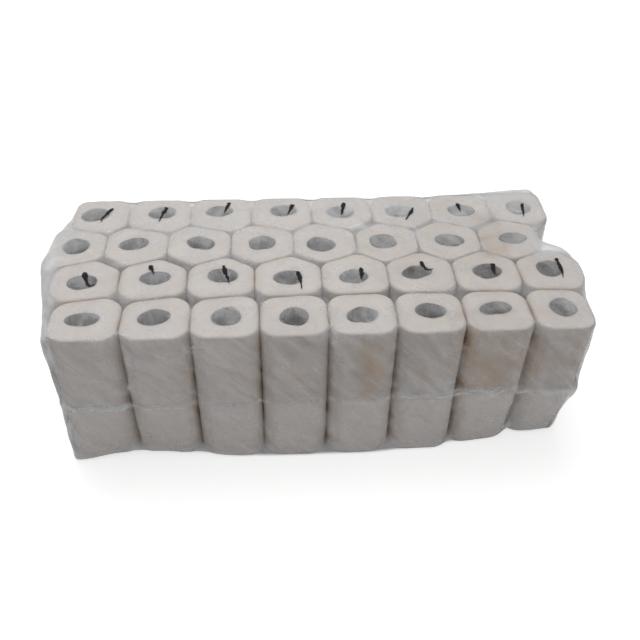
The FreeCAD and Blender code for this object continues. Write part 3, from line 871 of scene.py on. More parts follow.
def select_bore_edges(blank):
    """Selects the open edges of a blank: the two mouths of its bore."""
    mesh = blank.data
    edge_use = np.zeros(len(mesh.edges), dtype=int)
    face_edges = np.empty(len(mesh.loops), dtype=int)
    mesh.loops.foreach_get("edge_index", face_edges)
    np.add.at(edge_use, face_edges, 1)
    mesh.vertices.foreach_set("select", np.zeros(len(mesh.vertices), dtype=bool))
    mesh.polygons.foreach_set("select", np.zeros(len(mesh.polygons), dtype=bool))
    mesh.edges.foreach_set("select", edge_use < 2)


def roll_gap(name):
    """How near each point of a roll's outline is to the next roll."""
    outline = PRESSED[name].outline()
    gap = np.full(AROUND, 50 * MM)  # a gap wider than this makes no difference
    for beside in PRESSED[name].neighbours(PRESSED):
        gap = np.minimum(gap, beside.clearance(outline))
    return gap


def stain_at(points):
    """Strength of the brown marks at points in the pack."""
    total = np.zeros(len(points))
    for low, high, soft, strength in STAINS:
        away = np.maximum(np.array(low) * MM - points, points - np.array(high) * MM)
        inside = smooth_step(soft * MM, -soft * MM, away.max(1))
        total = np.maximum(total, strength * inside)
    return total


def paper_dents(bearing, up, slack, seed):
    """The dents of a wound roll, and the step at its last sheet's edge."""
    around = np.column_stack([ways_at(bearing), up * 2.4])
    dent = ripples(around, (1.0, 3.0), seed) * slack
    dent += ripples(around * (1, 1, 0.3), (0.16, 0.5), seed + 1) * slack * 0.2
    tail = (bearing - math.radians(seed * 37 % 360)) % (2 * math.pi)
    return dent + 0.4 * MM * np.exp(-tail / 0.4)


def mark_paper(mesh, name, wind, gap, below_top):
    """Gives a roll's points what its materials read: its turns, its stains, the painted shade in
    and near the gaps between rolls, and how strong the painted shade of the film's folds is.

    wind is 0 at the bore and 1 at the outside, and gap is how near the next roll is.
    """
    points = points_of(mesh)
    x, y, z = points.T
    # the painted fold shade is deepest at the front and the back, above the weld, and to the right
    outside = np.maximum(smooth_step(-0.11, -0.15, y), smooth_step(0.12, 0.15, y) * 0.6)
    upper = smooth_step(0.1, 0.125, z) * (0.34 + 0.3 * smooth_step(-0.1, 0.0, x)) * outside
    at_top, deeper = (0.6, 0.12) if name[0] in "ab" else (0.3, 0.03)
    down = smooth_step(0, 0.025, below_top)
    # painted shade: the stain's brown near the gaps between rolls, and a darker brown deep in the
    # narrowest gaps
    close = np.exp(-gap / (10 * MM)) * wind**6 * (at_top + (1 - at_top) * down)
    gap_shade_strength = np.exp(-gap / (2.2 * MM)) * wind**10 * (deeper + (1 - deeper) * down)
    add_attribute(mesh, "fold_shade", 0.28 + upper)
    add_attribute(mesh, "wind", wind)
    add_attribute(mesh, "stain_and_gap_shade", np.maximum(stain_at(points), close))
    add_attribute(mesh, "painted_gap_shade", gap_shade_strength)


def press_roll(piece, name, rim, board, slack, seed):
    """Presses a blank roll into its place, as its CAD node has it, and gives it its dents."""
    pressed = PRESSED[name]
    height = pressed.height
    bearing, radius, up = round_places(piece.data)
    from_end = np.minimum(up, 1 - up) * height
    on_side = radius > BLANK_RADIUS - 1e-5
    in_bore = radius < BLANK_BORE + 1e-5
    wind = np.clip((radius - BLANK_BORE) / (BLANK_RADIUS - BLANK_BORE), 0, 1)
    way = ways_at(bearing)

    gap = np.maximum(at_bearing(bearing, roll_gap(name)), 0)
    if name[0] != "a":  # a sharper top edge where the next roll is close, and a rounder foot
        rim = rim * np.where(up > 0.5, 1 - 0.42 * np.exp(-gap / (4 * MM)), 1.15)
    past_corner = np.where(on_side, from_end, radius - BLANK_RADIUS)
    turn = (np.clip(past_corner / rim, -1, 1) + 1) * math.pi / 4
    inset = rim * (1 - np.sin(turn))
    drop = rim * (1 - np.cos(turn)) + np.maximum(past_corner - rim, 0)
    drop = np.where(in_bore, from_end, drop)

    dent = np.minimum(paper_dents(bearing, up, slack, seed), 0.2 * slack) * wind**3
    reach = at_bearing(bearing, pressed.reach) - inset + dent
    bore = at_bearing(bearing, pressed.bore_reach) + board
    inward = (BLANK_RADIUS - rim - radius) / (BLANK_RADIUS - rim - BLANK_BORE)
    inward = np.clip(inward, 0, 1)[:, None]
    plan = (pressed.middle + way * reach[:, None]) * (1 - inward)
    plan += (pressed.bore_middle + way * bore[:, None]) * inward

    lift = ripples(np.column_stack([way * 1.4, wind * 3]), (1, 3), seed + 2)
    dish = np.minimum(lift * 0.3 * MM - 0.7 * MM * (1 - wind) ** 2, 0.1 * MM)
    drop = drop - dish * (from_end < rim)
    level = np.where(up > 0.5, height - drop, drop)
    set_points(piece.data, pressed.stand(plan, level))
    mark_paper(piece.data, name, wind, gap, height - level)
    unrolled = np.where(on_side | in_bore, level, height + radius)
    add_uv(piece.data, (bearing + math.pi) * BLANK_RADIUS, unrolled)


def even_heights():
    """Heights of even rings up a blank's side, from the top down."""
    return [BLANK_HEIGHT * i / SIDE_GAPS for i in range(SIDE_GAPS - 1, 0, -1)]


def make_rolls(settings):
    """The wound paper of every roll."""
    near = [z * MM for z in SIDE_RINGS]
    first = near[-1] + 4 * MM
    sides = [BLANK_HEIGHT - z for z in near]
    sides += [z for z in even_heights() if first < z < BLANK_HEIGHT - first]
    sides += near[::-1]
    ends = [r * MM for r in END_RINGS]
    blank = make_tube_blank("roll_blank", BLANK_BORE, BLANK_RADIUS, ends, sides)
    for material in (embossed_tissue, wound_edge):  # the second one is for the flat ends
        blank.data.materials.append(material(settings.tissue, settings.stain_and_gap_shade))
    normals = np.empty(len(blank.data.polygons) * 3)
    blank.data.polygons.foreach_get("normal", normals)
    flat = np.abs(normals.reshape(-1, 3)[:, 2]) > 0.5
    blank.data.polygons.foreach_set("material_index", flat.astype(int))
    for i, name in enumerate(ROLLS):
        piece = copy_piece(blank, f"towel_roll_{name}")
        press_roll(piece, name, settings.rim, settings.board, settings.slack, SEED + 7 * i)
        finish_piece(piece, "paper", f"roll_{name}")
    remove_piece(blank)


def crush_core(piece, name, board, seed):
    """Squashes a blank core into its roll's bore, with the dents of thin board."""
    pressed = PRESSED[name]
    bearing, radius, up = round_places(piece.data)
    way = ways_at(bearing)
    around = np.column_stack([way, up * 5])
    dent = ripples(around, (0.5, 1.3), seed) * 0.9 * MM
    dent -= 1.6 * MM * np.maximum(ripples(around * (1, 1, 0.5), (0.35, 0.8), seed + 3) - 0.6, 0)
    outside = radius > BLANK_BORE - board / 2
    reach = at_bearing(bearing, pressed.bore_reach)
    reach += np.where(outside, board * 0.95, np.minimum(dent, 0))
    level = CORE_SHORT + up * (pressed.height - 2 * CORE_SHORT)
    level += ripples(way, (0.8, 2.5), seed + 5) * 0.35 * MM * (up - 0.5)
    plan = pressed.bore_middle + way * reach[:, None]
    set_points(piece.data, pressed.stand(plan, level))
    add_uv(piece.data, (bearing + math.pi) * BLANK_BORE, level)


def make_cores(settings):
    """The cardboard core of every roll."""
    inner = BLANK_BORE - settings.board
    blank = make_tube_blank("core_blank", inner, BLANK_BORE, [], even_heights())
    blank.data.materials.append(core_board(settings.cardboard))
    for i, name in enumerate(ROLLS):
        piece = copy_piece(blank, f"core_{name}")
        crush_core(piece, name, settings.board, SEED + 1000 + 11 * i)
        finish_piece(piece, "paper")
    remove_piece(blank)


# ---------------------------------------------------------------- the wrap

GRID_LONG, GRID_DEEP = 248, 116  # cells of the film's ends, along the front and along a side
WRAP_LEVELS = 24  # heights at which the film is fitted to the rolls
ROLL_CLEAR = 0.35 * MM  # the film stays at least this far off the rolls
LOWER_RIM = 5 * MM  # curve of the film under the feet
FIRST_STEP, ROW_STEP, FINE_STEP = 3.4 * MM, 3.1 * MM, 1.3 * MM  # between the film's rows
FRONT_Y = -0.12  # film nearer than this is on the pack's front
NOTCH_X, NOTCH_Y = 0.36, 0.004  # where row b stops short, behind roll b8

# The film's ear at the lower left: its place from the pack's corner, its size and its pull.
EAR_PLACE = (37 * MM, 7 * MM, 2 * MM)
EAR_SIZE = (9 * MM, 9 * MM, 12 * MM)
EAR_PULL = (-2 * MM, -7 * MM, 0)


class WrapPlan:
    """The closed line that the film follows round the pack, and how far it sinks in."""

    def __init__(self):
        corners = cad_corners("film_wrap")
        self.foot, self.top = corners[:, 2].min(), corners[:, 2].max()
        ring = wrap_ring()
        half = ring.max(0)
        turns = [np.argmax(ring / half @ np.array(way)) for way in
                 ((-1, -1), (1, -1), (1, 1), (-1, 1))]
        sides = []
        for i, start in enumerate(turns):
            end = turns[(i + 1) % 4]
            run = np.arange(start, end + 1 if end > start else end + len(ring) + 1) % len(ring)
            sides.append(self.spread(ring[run], GRID_LONG if i % 2 == 0 else GRID_DEEP))
        self.line = np.vstack([side[:-1] for side in sides])
        step = np.roll(self.line, -1, 0) - np.roll(self.line, 1, 0)
        step = np.stack([blur_ring(step[:, i], 1.5) for i in (0, 1)], 1)
        step /= np.hypot(step[:, 0], step[:, 1])[:, None]
        self.outward = np.stack([step[:, 1], -step[:, 0]], 1)
        self.spacing = np.hypot(*(np.roll(self.line, -1, 0) - self.line).T)
        self.levels = np.linspace(self.foot, self.top, WRAP_LEVELS)
        self.to_rolls = np.stack([self.rolls_behind(z) for z in self.levels])
        self.sink = self.bridge()

    @staticmethod
    def spread(points, count):
        """Points at even steps along a line."""
        steps = np.hypot(*np.diff(points, axis=0).T)
        at = np.concatenate([[0], np.cumsum(steps)])
        wanted = np.linspace(0, at[-1], count + 1)
        return np.stack([np.interp(wanted, at, points[:, i]) for i in (0, 1)], 1)

    def rolls_behind(self, z):
        """How far in from the line the rolls stand at a height."""
        depths = np.arange(70) * MM
        probes = self.line[:, None, :] - self.outward[:, None, :] * depths[None, :, None]
        nearest = np.full(probes.shape[:2], 1.0)
        for name, pressed in PRESSED.items():
            if name[0] in "bc" and name[1] not in "18":  # it stands inside the pack
                continue
            share = np.clip((z - pressed.foot) / pressed.height, 0, 1)
            shift = pressed.lean * (1 - share)
            nearest = np.minimum(nearest, pressed.clearance(probes - shift))
        inside = nearest <= 0
        first = np.argmax(inside, axis=1)
        first = np.where(inside.any(1), np.maximum(first, 1), len(depths) - 1)
        row = np.arange(len(first))
        before, after = nearest[row, first - 1], nearest[row, first]
        part = np.clip(before / np.maximum(before - after, 1e-9), 0, 1)
        return depths[first - 1] + part * (depths[1] - depths[0])

    def bridge(self):
        """Stretches the film across the gaps, as far in as its tension lets it go.

        slope is how steeply it may run in from a roll. It is small at the ends, at the back,
        at the feet and along the right half of the front weld, and large where the film hugs
        the feet at the right.
        """
        at = np.concatenate([[0], np.cumsum(self.spacing)])[:-1]
        length = self.spacing.sum()
        apart = np.abs(at[:, None] - at[None, :])
        apart = np.minimum(apart, length - apart)
        x, y = self.line.T
        ends = np.abs(self.outward[:, 0]) > 0.7
        sink = []
        for z, depth in zip(self.levels, self.to_rolls):
            tight = smooth_step(self.foot, self.foot + 0.05, z)
            slope = np.where(ends, 0.05, 0.07 + 0.27 * tight)
            slope = np.where(y > 0.1, 0.08, slope)
            welded = smooth_step(0.06, 0.13, x) * (y < -0.14)
            at_weld = fade(z - self.foot, WELD_UP, 16 * MM)
            slope = np.maximum(slope - 0.22 * welded * at_weld, 0.05)
            hugged = smooth_step(0.14, 0.22, x) * (y < 0.05)
            slope = slope + hugged * smooth_step(self.foot + 0.12, self.foot + 0.03, z) * 0.5
            cone = depth[None, :] + apart * slope[:, None]
            sink.append(blur_ring(cone.min(1), 1.2))
        sink = np.array(sink)
        for _ in range(2):
            padded = np.pad(sink, ((1, 1), (0, 0)), mode="edge")
            sink = (padded[:-2] + 2 * padded[1:-1] + padded[2:]) / 4
        loose = np.stack([self.looseness(z) for z in self.levels])
        return np.minimum(sink - loose, self.to_rolls - ROLL_CLEAR)

    def looseness(self, z):
        """How far the film stands off its tight line, where there was too much of it."""
        x, y = self.line.T
        z = z - self.foot
        left = smooth_step(cad_low.x + 0.05, cad_low.x + 0.008, x) * smooth_step(0.075, -0.02, y)
        shoulder = 8 * MM * smooth_step(0.12, 0.222, z) + 1 * MM
        waist = 3.5 * MM * smooth_step(0.13, 0.08, z) * smooth_step(0.0, 0.05, z)
        behind_b8 = 10 * MM * fade(x, NOTCH_X, 0.03) * fade(y, NOTCH_Y, 0.018)
        front_foot = 4.5 * MM * fade(x, 0, 0.22) * smooth_step(0.03, 0.0, z) * (y < 0)
        return left * (shoulder + waist) + behind_b8 + front_foot

    def sample(self, table, heights):
        """A table's values round the line, each at its own height."""
        place = np.interp(heights, self.levels, np.arange(len(self.levels)))
        low = np.minimum(place.astype(int), len(self.levels) - 2)
        here = np.arange(table.shape[1])
        return table[low, here] + (table[low + 1, here] - table[low, here]) * (place - low)

    def at_level(self, table, z):
        """A table's values round the line at one height."""
        place = np.interp(z, self.levels, np.arange(len(self.levels)))
        low = int(min(place, len(self.levels) - 2))
        return table[low] + (table[low + 1] - table[low]) * (place - low)


def coons_patch(ring, across, back):
    """Fills a ring of grid edge points, by the grid's steps across and back."""
    front = ring[:GRID_LONG + 1]
    right = ring[GRID_LONG:GRID_LONG + GRID_DEEP + 1]
    rear = ring[GRID_LONG + GRID_DEEP:2 * GRID_LONG + GRID_DEEP + 1][::-1]
    left = np.vstack([ring[2 * GRID_LONG + GRID_DEEP:], ring[:1]])[::-1]
    u = (across / GRID_LONG)[:, None]
    v = (back / GRID_DEEP)[:, None]
    ruled = (1 - v) * front[across] + v * rear[across] + (1 - u) * left[back] + u * right[back]
    corners = (1 - u) * (1 - v) * front[0] + u * (1 - v) * front[-1]
    corners += (1 - u) * v * rear[0] + u * v * rear[-1]
    return ruled - corners


def crease_strokes(seed):
    """The pulled creases of the film, as (start, end, way off the film, width, height)."""
    dice = np.random.default_rng(seed)
    low, high = cad_low, cad_high
    seam = low.z + WELD_UP
    strokes = []

    def stroke(middle, way, length, off, width, height):
        way = np.array(way, float) / np.linalg.norm(way)
        middle = np.array(middle, float)
        reach = way * length / 2
        strokes.append((middle - reach, middle + reach, np.array(off, float), width, height))

    def drawn(width, height):
        """The width and height of a crease, each from a range in mm."""
        return dice.uniform(*width) * MM, dice.uniform(*height) * MM

    for off, side, start, end, y_or_x in (
        ((0, -1, 0), 0, low.x, high.x, low.y), ((0, 1, 0), 0, low.x, high.x, high.y),
        ((-1, 0, 0), 1, low.y, high.y, low.x), ((1, 0, 0), 1, low.y, high.y, high.x),
    ):
        span = end - start

        def on_side(along, z, turn, length, width, height):
            middle = [along, y_or_x, z] if side == 0 else [y_or_x, along, z]
            flat = math.cos(turn)
            way = [flat, 0, math.sin(turn)] if side == 0 else [0, flat, math.sin(turn)]
            stroke(middle, way, length, off, width, height)

        for _ in range(int(span * 18)):  # slanting pulls in the upper film
            turn = dice.choice((-1, -1, -1, 1)) * dice.uniform(0.45, 1.15)
            on_side(dice.uniform(start, end), dice.uniform(seam + 0.02, high.z - 0.01), turn,
                    dice.uniform(0.04, 0.1), *drawn((5, 10), (0.3, 1.0)))
        for _ in range(int(span * 30)):  # near the weld they lie along it
            on_side(dice.uniform(start, end), seam + dice.normal(0.006, 0.011),
                    dice.normal(0, 0.22), dice.uniform(0.02, 0.09),
                    *drawn((3, 5), (0.25, 0.8)))
        for _ in range(int(span * 28)):  # short puckers that run up and down from it
            on_side(dice.uniform(start, end), seam + dice.normal(0, 0.006),
                    math.pi / 2 + dice.normal(0, 0.35), dice.uniform(0.01, 0.028),
                    *drawn((3, 4.5), (0.3, 0.8)))
        for _ in range(int(span * 9)):  # the lower film is smoother
            on_side(dice.uniform(start, end), dice.uniform(low.z + 0.01, seam - 0.01),
                    dice.uniform(-0.9, 0.9), dice.uniform(0.02, 0.08),
                    *drawn((5, 9), (0.2, 0.5)))
    for off, z in (((0, 0, 1), high.z), ((0, 0, -1), low.z)):  # on the top and the underside
        for _ in range(60):
            turn = dice.uniform(0, math.pi)
            stroke((dice.uniform(low.x, high.x), dice.uniform(low.y, high.y), z),
                   (math.cos(turn), math.sin(turn), 0), dice.uniform(0.03, 0.09), off,
                   *drawn((5, 9), (0.12, 0.34)))
    return strokes


def crease_height(points, strokes):
    """How far the creases lift points of the film. Each is a ridge with a furrow beside it."""
    total = np.zeros(len(points))
    for start, end, off, width, height in strokes:
        run = end - start
        length = np.linalg.norm(run)
        along = (points - start) @ run / length**2
        level = (points - start) @ off
        near = (along > 0) & (along < 1) & (np.abs(level) < 0.035)
        if not near.any():
            continue
        beside = np.cross(run / length, off)
        part = np.flatnonzero(near)
        away = (points[part] - start) @ beside / width
        part, away = part[np.abs(away) < 5], away[np.abs(away) < 5]
        ridge = fade(away, 0, 1) - 0.45 * fade(away, 1.8, 1.1)
        total[part] += height * ridge * np.sin(math.pi * along[part]) ** 0.8
    return total


def near_rolls(plan):
    """Each roll, with which of the points in plan are near it."""
    for pressed in PRESSED.values():
        yield pressed, np.flatnonzero(np.abs(plan - pressed.middle).max(1) < ROLL_REACH)


def top_level(plan, strokes):
    """Height of the film over the rolls' upper ends, which hold it up, at points in plan."""
    unheld = np.full(len(plan), 1.0)
    for pressed, near in near_rolls(plan):
        over = np.maximum(pressed.clearance(plan[near]) + 4 * MM,
                          pressed.inside_bore(plan[near]) + 1 * MM)
        unheld[near] = np.minimum(unheld[near], over)
    unheld = np.clip(unheld, 0, 25 * MM)
    sag = 0.07 * unheld**2 / (unheld + 6 * MM)
    points = np.column_stack([plan, np.full(len(plan), cad_high.z)])
    wave = ripples(plan, (0.025, 0.09), SEED + 5) * 0.22 * MM
    rise = crease_height(points, strokes) * 0.9
    lowest = PRESSED["a1"].top + ROLL_CLEAR
    return np.maximum(lowest + 0.35 * MM - sag * 1.6 + wave + rise, lowest - sag * 1.9)


def make_sheet_blank(name, rows):
    """A flat grid whose rim is drawn out in rows: vertex heights count the rows."""
    deselect()
    bpy.ops.mesh.primitive_grid_add(
        x_subdivisions=GRID_LONG, y_subdivisions=GRID_DEEP, size=1, location=(0, 0, 0))
    blank = bpy.context.object
    blank.name = blank.data.name = name
    bpy.ops.object.mode_set(mode="EDIT")
    bpy.ops.mesh.select_all(action="SELECT")
    bpy.ops.mesh.region_to_loop()
    for _ in range(rows):
        bpy.ops.mesh.extrude_edges_move()
        bpy.ops.transform.translate(value=(0, 0, -1))
    bpy.ops.object.mode_set(mode="OBJECT")
    return blank


def wrap_rows(end_z, last_z, fine_from):
    """Turns and heights of the rows that run from a film's end, round its rim, to its weld.

    A turn of 0 is at the film's end and 1 is on its side. The rows are closer near the weld.
    """
    down = math.copysign(1, last_z - end_z)
    rows = [(turn, end_z) for turn in (0.0, 0.2, 0.4, 0.6, 0.8)]
    z = end_z + down * FIRST_STEP
    while abs(last_z - z) > ROW_STEP / 2:
        rows.append((1.0, z))
        step = FINE_STEP if (z - fine_from) * down > 0 else ROW_STEP
        z += down * min(step, abs(last_z - z))
    rows.append((1.0, last_z))
    return rows


def drape_rows(rows, curve):
    """How far in from the plan's line, and how high, each row is all round the pack."""
    turn, level = np.array(rows).T
    end_z, last_z = level[0], level[-1]
    inset = curve * (1 - np.sin(turn * math.pi / 2))[:, None]
    down = math.copysign(1, last_z - end_z)
    rounded = end_z + down * curve * (1 - np.cos(turn * math.pi / 2))[:, None]
    side = np.flatnonzero(turn == 1)[0]
    share = np.abs(level - last_z) / abs(level[side] - last_z)
    straight = level[:, None] + (rounded[side] - level[side]) * np.clip(share, 0, 1)[:, None]
    return inset, np.where(turn[:, None] < 1, rounded, straight)


def ring_places(across, back):
    """Which point of the plan's line each edge point of the grid is at, and 0 inside it."""
    ring = np.where(back == 0, across, 0)
    ring = np.where((across == GRID_LONG) & (back > 0), GRID_LONG + back, ring)
    ring = np.where((back == GRID_DEEP) & (across < GRID_LONG),
                    2 * GRID_LONG + GRID_DEEP - across, ring)
    return np.where((across == 0) & (back > 0) & (back < GRID_DEEP),
                    2 * (GRID_LONG + GRID_DEEP) - back, ring)


def lay_sheet(name, plan, settings, upper, strokes):
    """One half of the wrap: an end of the pack and the film that hangs or stands from it."""
    seam, half = settings.seam, settings.band / 2
    if upper:
        end_z, rim = plan.top - 0.45 * MM, settings.rim
        rows = wrap_rows(end_z, seam - half, seam + 24 * MM)
    else:
        end_z, rim = plan.foot + 0.3 * MM, LOWER_RIM
        rows = wrap_rows(end_z, seam + half, seam - 14 * MM)
    piece = make_sheet_blank(name, len(rows) - 1)
    x, y, z = points_of(piece.data).T
    across = np.rint((x / np.ptp(x) + 0.5) * GRID_LONG).astype(int)
    back = np.rint((y / np.ptp(y) + 0.5) * GRID_DEEP).astype(int)
    row = np.rint(-z).astype(int)
    ring = ring_places(across, back)

    off_rolls = plan.at_level(plan.to_rolls, end_z) - plan.at_level(plan.sink, end_z)
    curve = rim + 3.5 * MM * smooth_step(0.5 * MM, 7 * MM, blur_ring(off_rolls, 1.5))
    inset, height = drape_rows(rows, curve)
    sink = np.stack([plan.sample(plan.sink, line) for line in height])
    limit = np.stack([plan.sample(plan.to_rolls, line) for line in height]) - ROLL_CLEAR
    points = np.empty((len(row), 3))
    end, hung = row == 0, row > 0
    at = row[hung], ring[hung]
    outward = plan.outward[ring[hung]]
    edge = plan.line - plan.outward * (inset[0] + sink[0])[:, None]
    points[end, :2] = coons_patch(edge, across[end], back[end])
    points[hung, :2] = plan.line[ring[hung]] - outward * (inset[at] + sink[at])[:, None]
    points[:, 2] = height[row, ring]

    crumple = crumpled_at(points)
    lift = sheet_lift(points, seam, upper, strokes, crumple)
    allowed = limit[at] - sink[at]
    moved = np.clip(lift[hung], -np.maximum(allowed, 0), 5 * MM)
    settle = smooth_step(0, 3.2, row[hung])
    points[hung, :2] += outward * (moved * settle)[:, None]
    if upper:
        level = top_level(points[:, :2], strokes)
        points[:, 2] += (level - end_z) * np.clip(1 - row / 4, 0, 1)
    else:
        ear = np.array([cad_low.x, cad_low.y, plan.foot]) + EAR_PLACE
        pull = np.exp(-np.linalg.norm((points[hung] - ear) / EAR_SIZE, axis=1))
        points[hung] += pull[:, None] * EAR_PULL

    set_points(piece.data, points)
    off_rolls = np.zeros(len(points))
    off_rolls[hung] = allowed - moved
    haze = sheet_haze(points, seam, upper) + spanned_haze(points, off_rolls, plan.foot)
    haze += np.abs(lift) * 0.05 / MM * hung + crumple * 0.2
    add_attribute(piece.data, "crumple", crumple)
    add_attribute(piece.data, "haze", np.clip(haze, 0.03, 0.75))
    if not upper:
        bpy.ops.object.mode_set(mode="EDIT")
        bpy.ops.mesh.select_all(action="SELECT")
        bpy.ops.mesh.flip_normals()
        bpy.ops.object.mode_set(mode="OBJECT")
    bpy.ops.object.shade_smooth()
    return piece


def sheet_lift(points, seam, upper, strokes, crumple):
    """How far the film stands out in creases, waves, the weld's ruffles and its bead."""
    x, y, z = points.T
    lift = crease_height(points, strokes)
    lift += ripples(points, (0.03, 0.11), SEED + 3) * 0.35 * MM
    ruffled = 0.12 + 0.8 * fade(x, -0.30, 0.05) + 0.9 * fade(x, 0.25, 0.07)
    flutter = ripples(points * (1, 1, 0.3), (0.012, 0.045), SEED + 4)
    lift += (0.4 + flutter) * ruffled * 0.7 * MM * fade(z, seam, 6 * MM)
    bead = 0.5 + 0.5 * np.clip(ripples(points * (1, 1, 0.1), (0.03, 0.1), SEED + 8), -1, 1)
    bead = bead * np.where(y < FRONT_Y, 0.2 + weld_line(x, y) * 1.6, 0.8)
    lift += bead * 0.5 * MM * fade(z, seam + 1 * MM, 1.6 * MM)
    lift += crumple * np.abs(ripples(points, (0.006, 0.02), SEED + 9)) * 1.7 * MM
    if upper:
        lift += 0.3 * MM * smooth_step(12 * MM, 0, z - seam)
    bulge = fade(x, cad_high.x - 0.035, 0.045) * fade(y, cad_low.y, 0.08)
    return lift + 4 * MM * bulge * fade(z, seam - 4 * MM, 0.018)


def crumpled_at(points):
    """How crumpled the film is at points: in the places named above, and a little at the weld."""
    x, y, z = points.T
    total = np.zeros(len(points))
    for across, up, wide, high, strength in CRUMPLES:
        spot = fade(x / MM, across, wide) * fade(z / MM, up, high)
        total = np.maximum(total, strength * spot)
    patches = smooth_step(0.3, 1.4, ripples(points, (0.05, 0.15), SEED + 10))
    elsewhere = 0.6 * patches * fade(z, 110 * MM, 6 * MM)
    return np.where(y < FRONT_Y, total, elsewhere)


def sheet_haze(points, seam, upper):
    """How milky the film is: most where it was stretched, crumpled or doubled."""
    x, y, z = points.T
    on_end = smooth_step(cad_high.z - 9 * MM, cad_high.z - 2 * MM, z) * upper
    haze = 0.18 - 0.02 * on_end
    haze += 0.16 * smooth_step(-0.02, 0.15, y) * on_end
    haze += gap_veil(points[:, :2]) * on_end
    haze += 0.45 * weld_line(x, y) * fade(z, seam + 1 * MM, 1.1 * MM)
    haze += 0.36 * smooth_step(cad_low.x + 36 * MM, cad_low.x + 10 * MM, x + 0.09 * y)
    haze += 0.25 * smooth_step(cad_high.x - 26 * MM, cad_high.x - 6 * MM, x)
    haze += 0.2 * smooth_step(0.165, 0.182, y)
    haze += 0.25 * smooth_step(0.15, 0.165, y) * on_end
    haze += 0.03 * smooth_step(0.012, 0.0, np.abs(z - seam))
    haze += 0.15 * smooth_step(0.03, 0.0, z - cad_low.z) * (1 - on_end)
    return haze + ripples(points, (0.02, 0.12), SEED + 6) * 0.03


def spanned_haze(points, off_rolls, foot):
    """What that haze gains or loses where the film spans a gap between rolls, or is doubled."""
    x, y, z = points.T
    spanned = smooth_step(1.5 * MM, 6 * MM, off_rolls)
    low_down = smooth_step(0.04, 0.01, z - foot)
    haze = spanned * (0.14 * low_down - 0.1 * (1 - low_down) * (y < FRONT_Y))
    haze += spanned * 0.4 * smooth_step(0.175, 0.225, z) * (y > 0.12)
    haze += 0.5 * fade(x, NOTCH_X, 0.034) * fade(y, NOTCH_Y, 0.026) * smooth_step(0.12, 0.2, z)
    return haze + 0.28 * fade(x, 0.074, 0.028) * fade(y, 0.069, 0.014) * (z > 0.2)


def gap_veil(plan):
    """The milky film that is stretched over the gaps between rolls, at points in plan."""
    x, y = plan.T
    past_roll = np.full(len(plan), 1.0)
    in_bore = np.full(len(plan), -1.0)
    for pressed, near in near_rolls(plan):
        past_roll[near] = np.minimum(past_roll[near], pressed.clearance(plan[near]))
        in_bore[near] = np.maximum(in_bore[near], pressed.inside_bore(plan[near]))
    veil = smooth_step(-3 * MM, 1.5 * MM, past_roll) * (0.05 + 0.04 * smooth_step(-0.1, 0.05, y))
    on_edge = smooth_step(-5 * MM, -1 * MM, past_roll) * smooth_step(2.5 * MM, 0.3 * MM, past_roll)
    veil += 0.1 * on_edge * smooth_step(-0.04, 0.06, y)
    milky_corner = smooth_step(0.0, 0.1, x) * smooth_step(-0.02, 0.05, y)
    return veil + (0.04 + 0.1 * milky_corner) * smooth_step(-1 * MM, 3 * MM, in_bore)


def weld_line(x, y):
    """How plainly the weld shows on the front: hardly at the left, a bright line at the right."""
    broken = 0.6 + 0.6 * ripples(x[:, None] * (1, 0, 0), (0.02, 0.08), SEED + 11)
    bright = smooth_step(0.03, 0.12, x) * smooth_step(0.285, 0.25, x) * np.clip(broken, 0.1, 1)
    return (bright + 0.07 * smooth_step(-0.24, -0.27, x)) * (y < FRONT_Y)


def make_wrap(settings):
    """The upper and lower film, which overlap and are welded to each other all round."""
    plan = WrapPlan()
    strokes = crease_strokes(SEED + 2)
    film = wrap_film(settings.film)
    for name, upper, rise in (
        ("film_upper", True, plan.top - settings.seam + settings.band / 2),
        ("film_lower", False, settings.seam + settings.band / 2 - plan.foot),
    ):
        sheet = lay_sheet(name, plan, settings, upper, strokes)
        sheet.data.materials.append(film)
        finish_piece(sheet, "film", "film_wrap")


# ---------------------------------------------------------------- pen marks

def stroke_plan(mark, seed, share, beside):
    """A pen stroke in plan, at shares of its length and of its width, from -0.5 to 0.5."""
    path = np.array(mark) * MM
    at = share * (len(mark) - 1)
    middle = rounded_path(path, at)
    way = rounded_path(path, at + 0.05) - middle
    way /= np.hypot(way[:, 0], way[:, 1])[:, None]
    width = np.interp(share, np.linspace(0, 1, len(PEN_WIDTHS)), PEN_WIDTHS) * MM
    dry = 1 + 0.22 * ripples(np.column_stack([middle, beside * 0.004]), (0.004, 0.02), seed)
    blunt = np.sqrt(np.clip(1 - (1 - np.clip(share / 0.08, 0, 1)) ** 2, 0.02, 1))
    off = beside * width * blunt * dry
    return middle + np.stack([-way[:, 1], way[:, 0]], 1) * off[:, None]


def rounded_path(path, at):
    """A curve through a few points, rounded by a running mean of the straight runs."""
    knots = np.arange(len(path))
    spread = np.linspace(-0.45, 0.45, 9)
    return np.stack([np.mean([np.interp(at + s, knots, values) for s in spread], axis=0)
                     for values in path.T], 1)


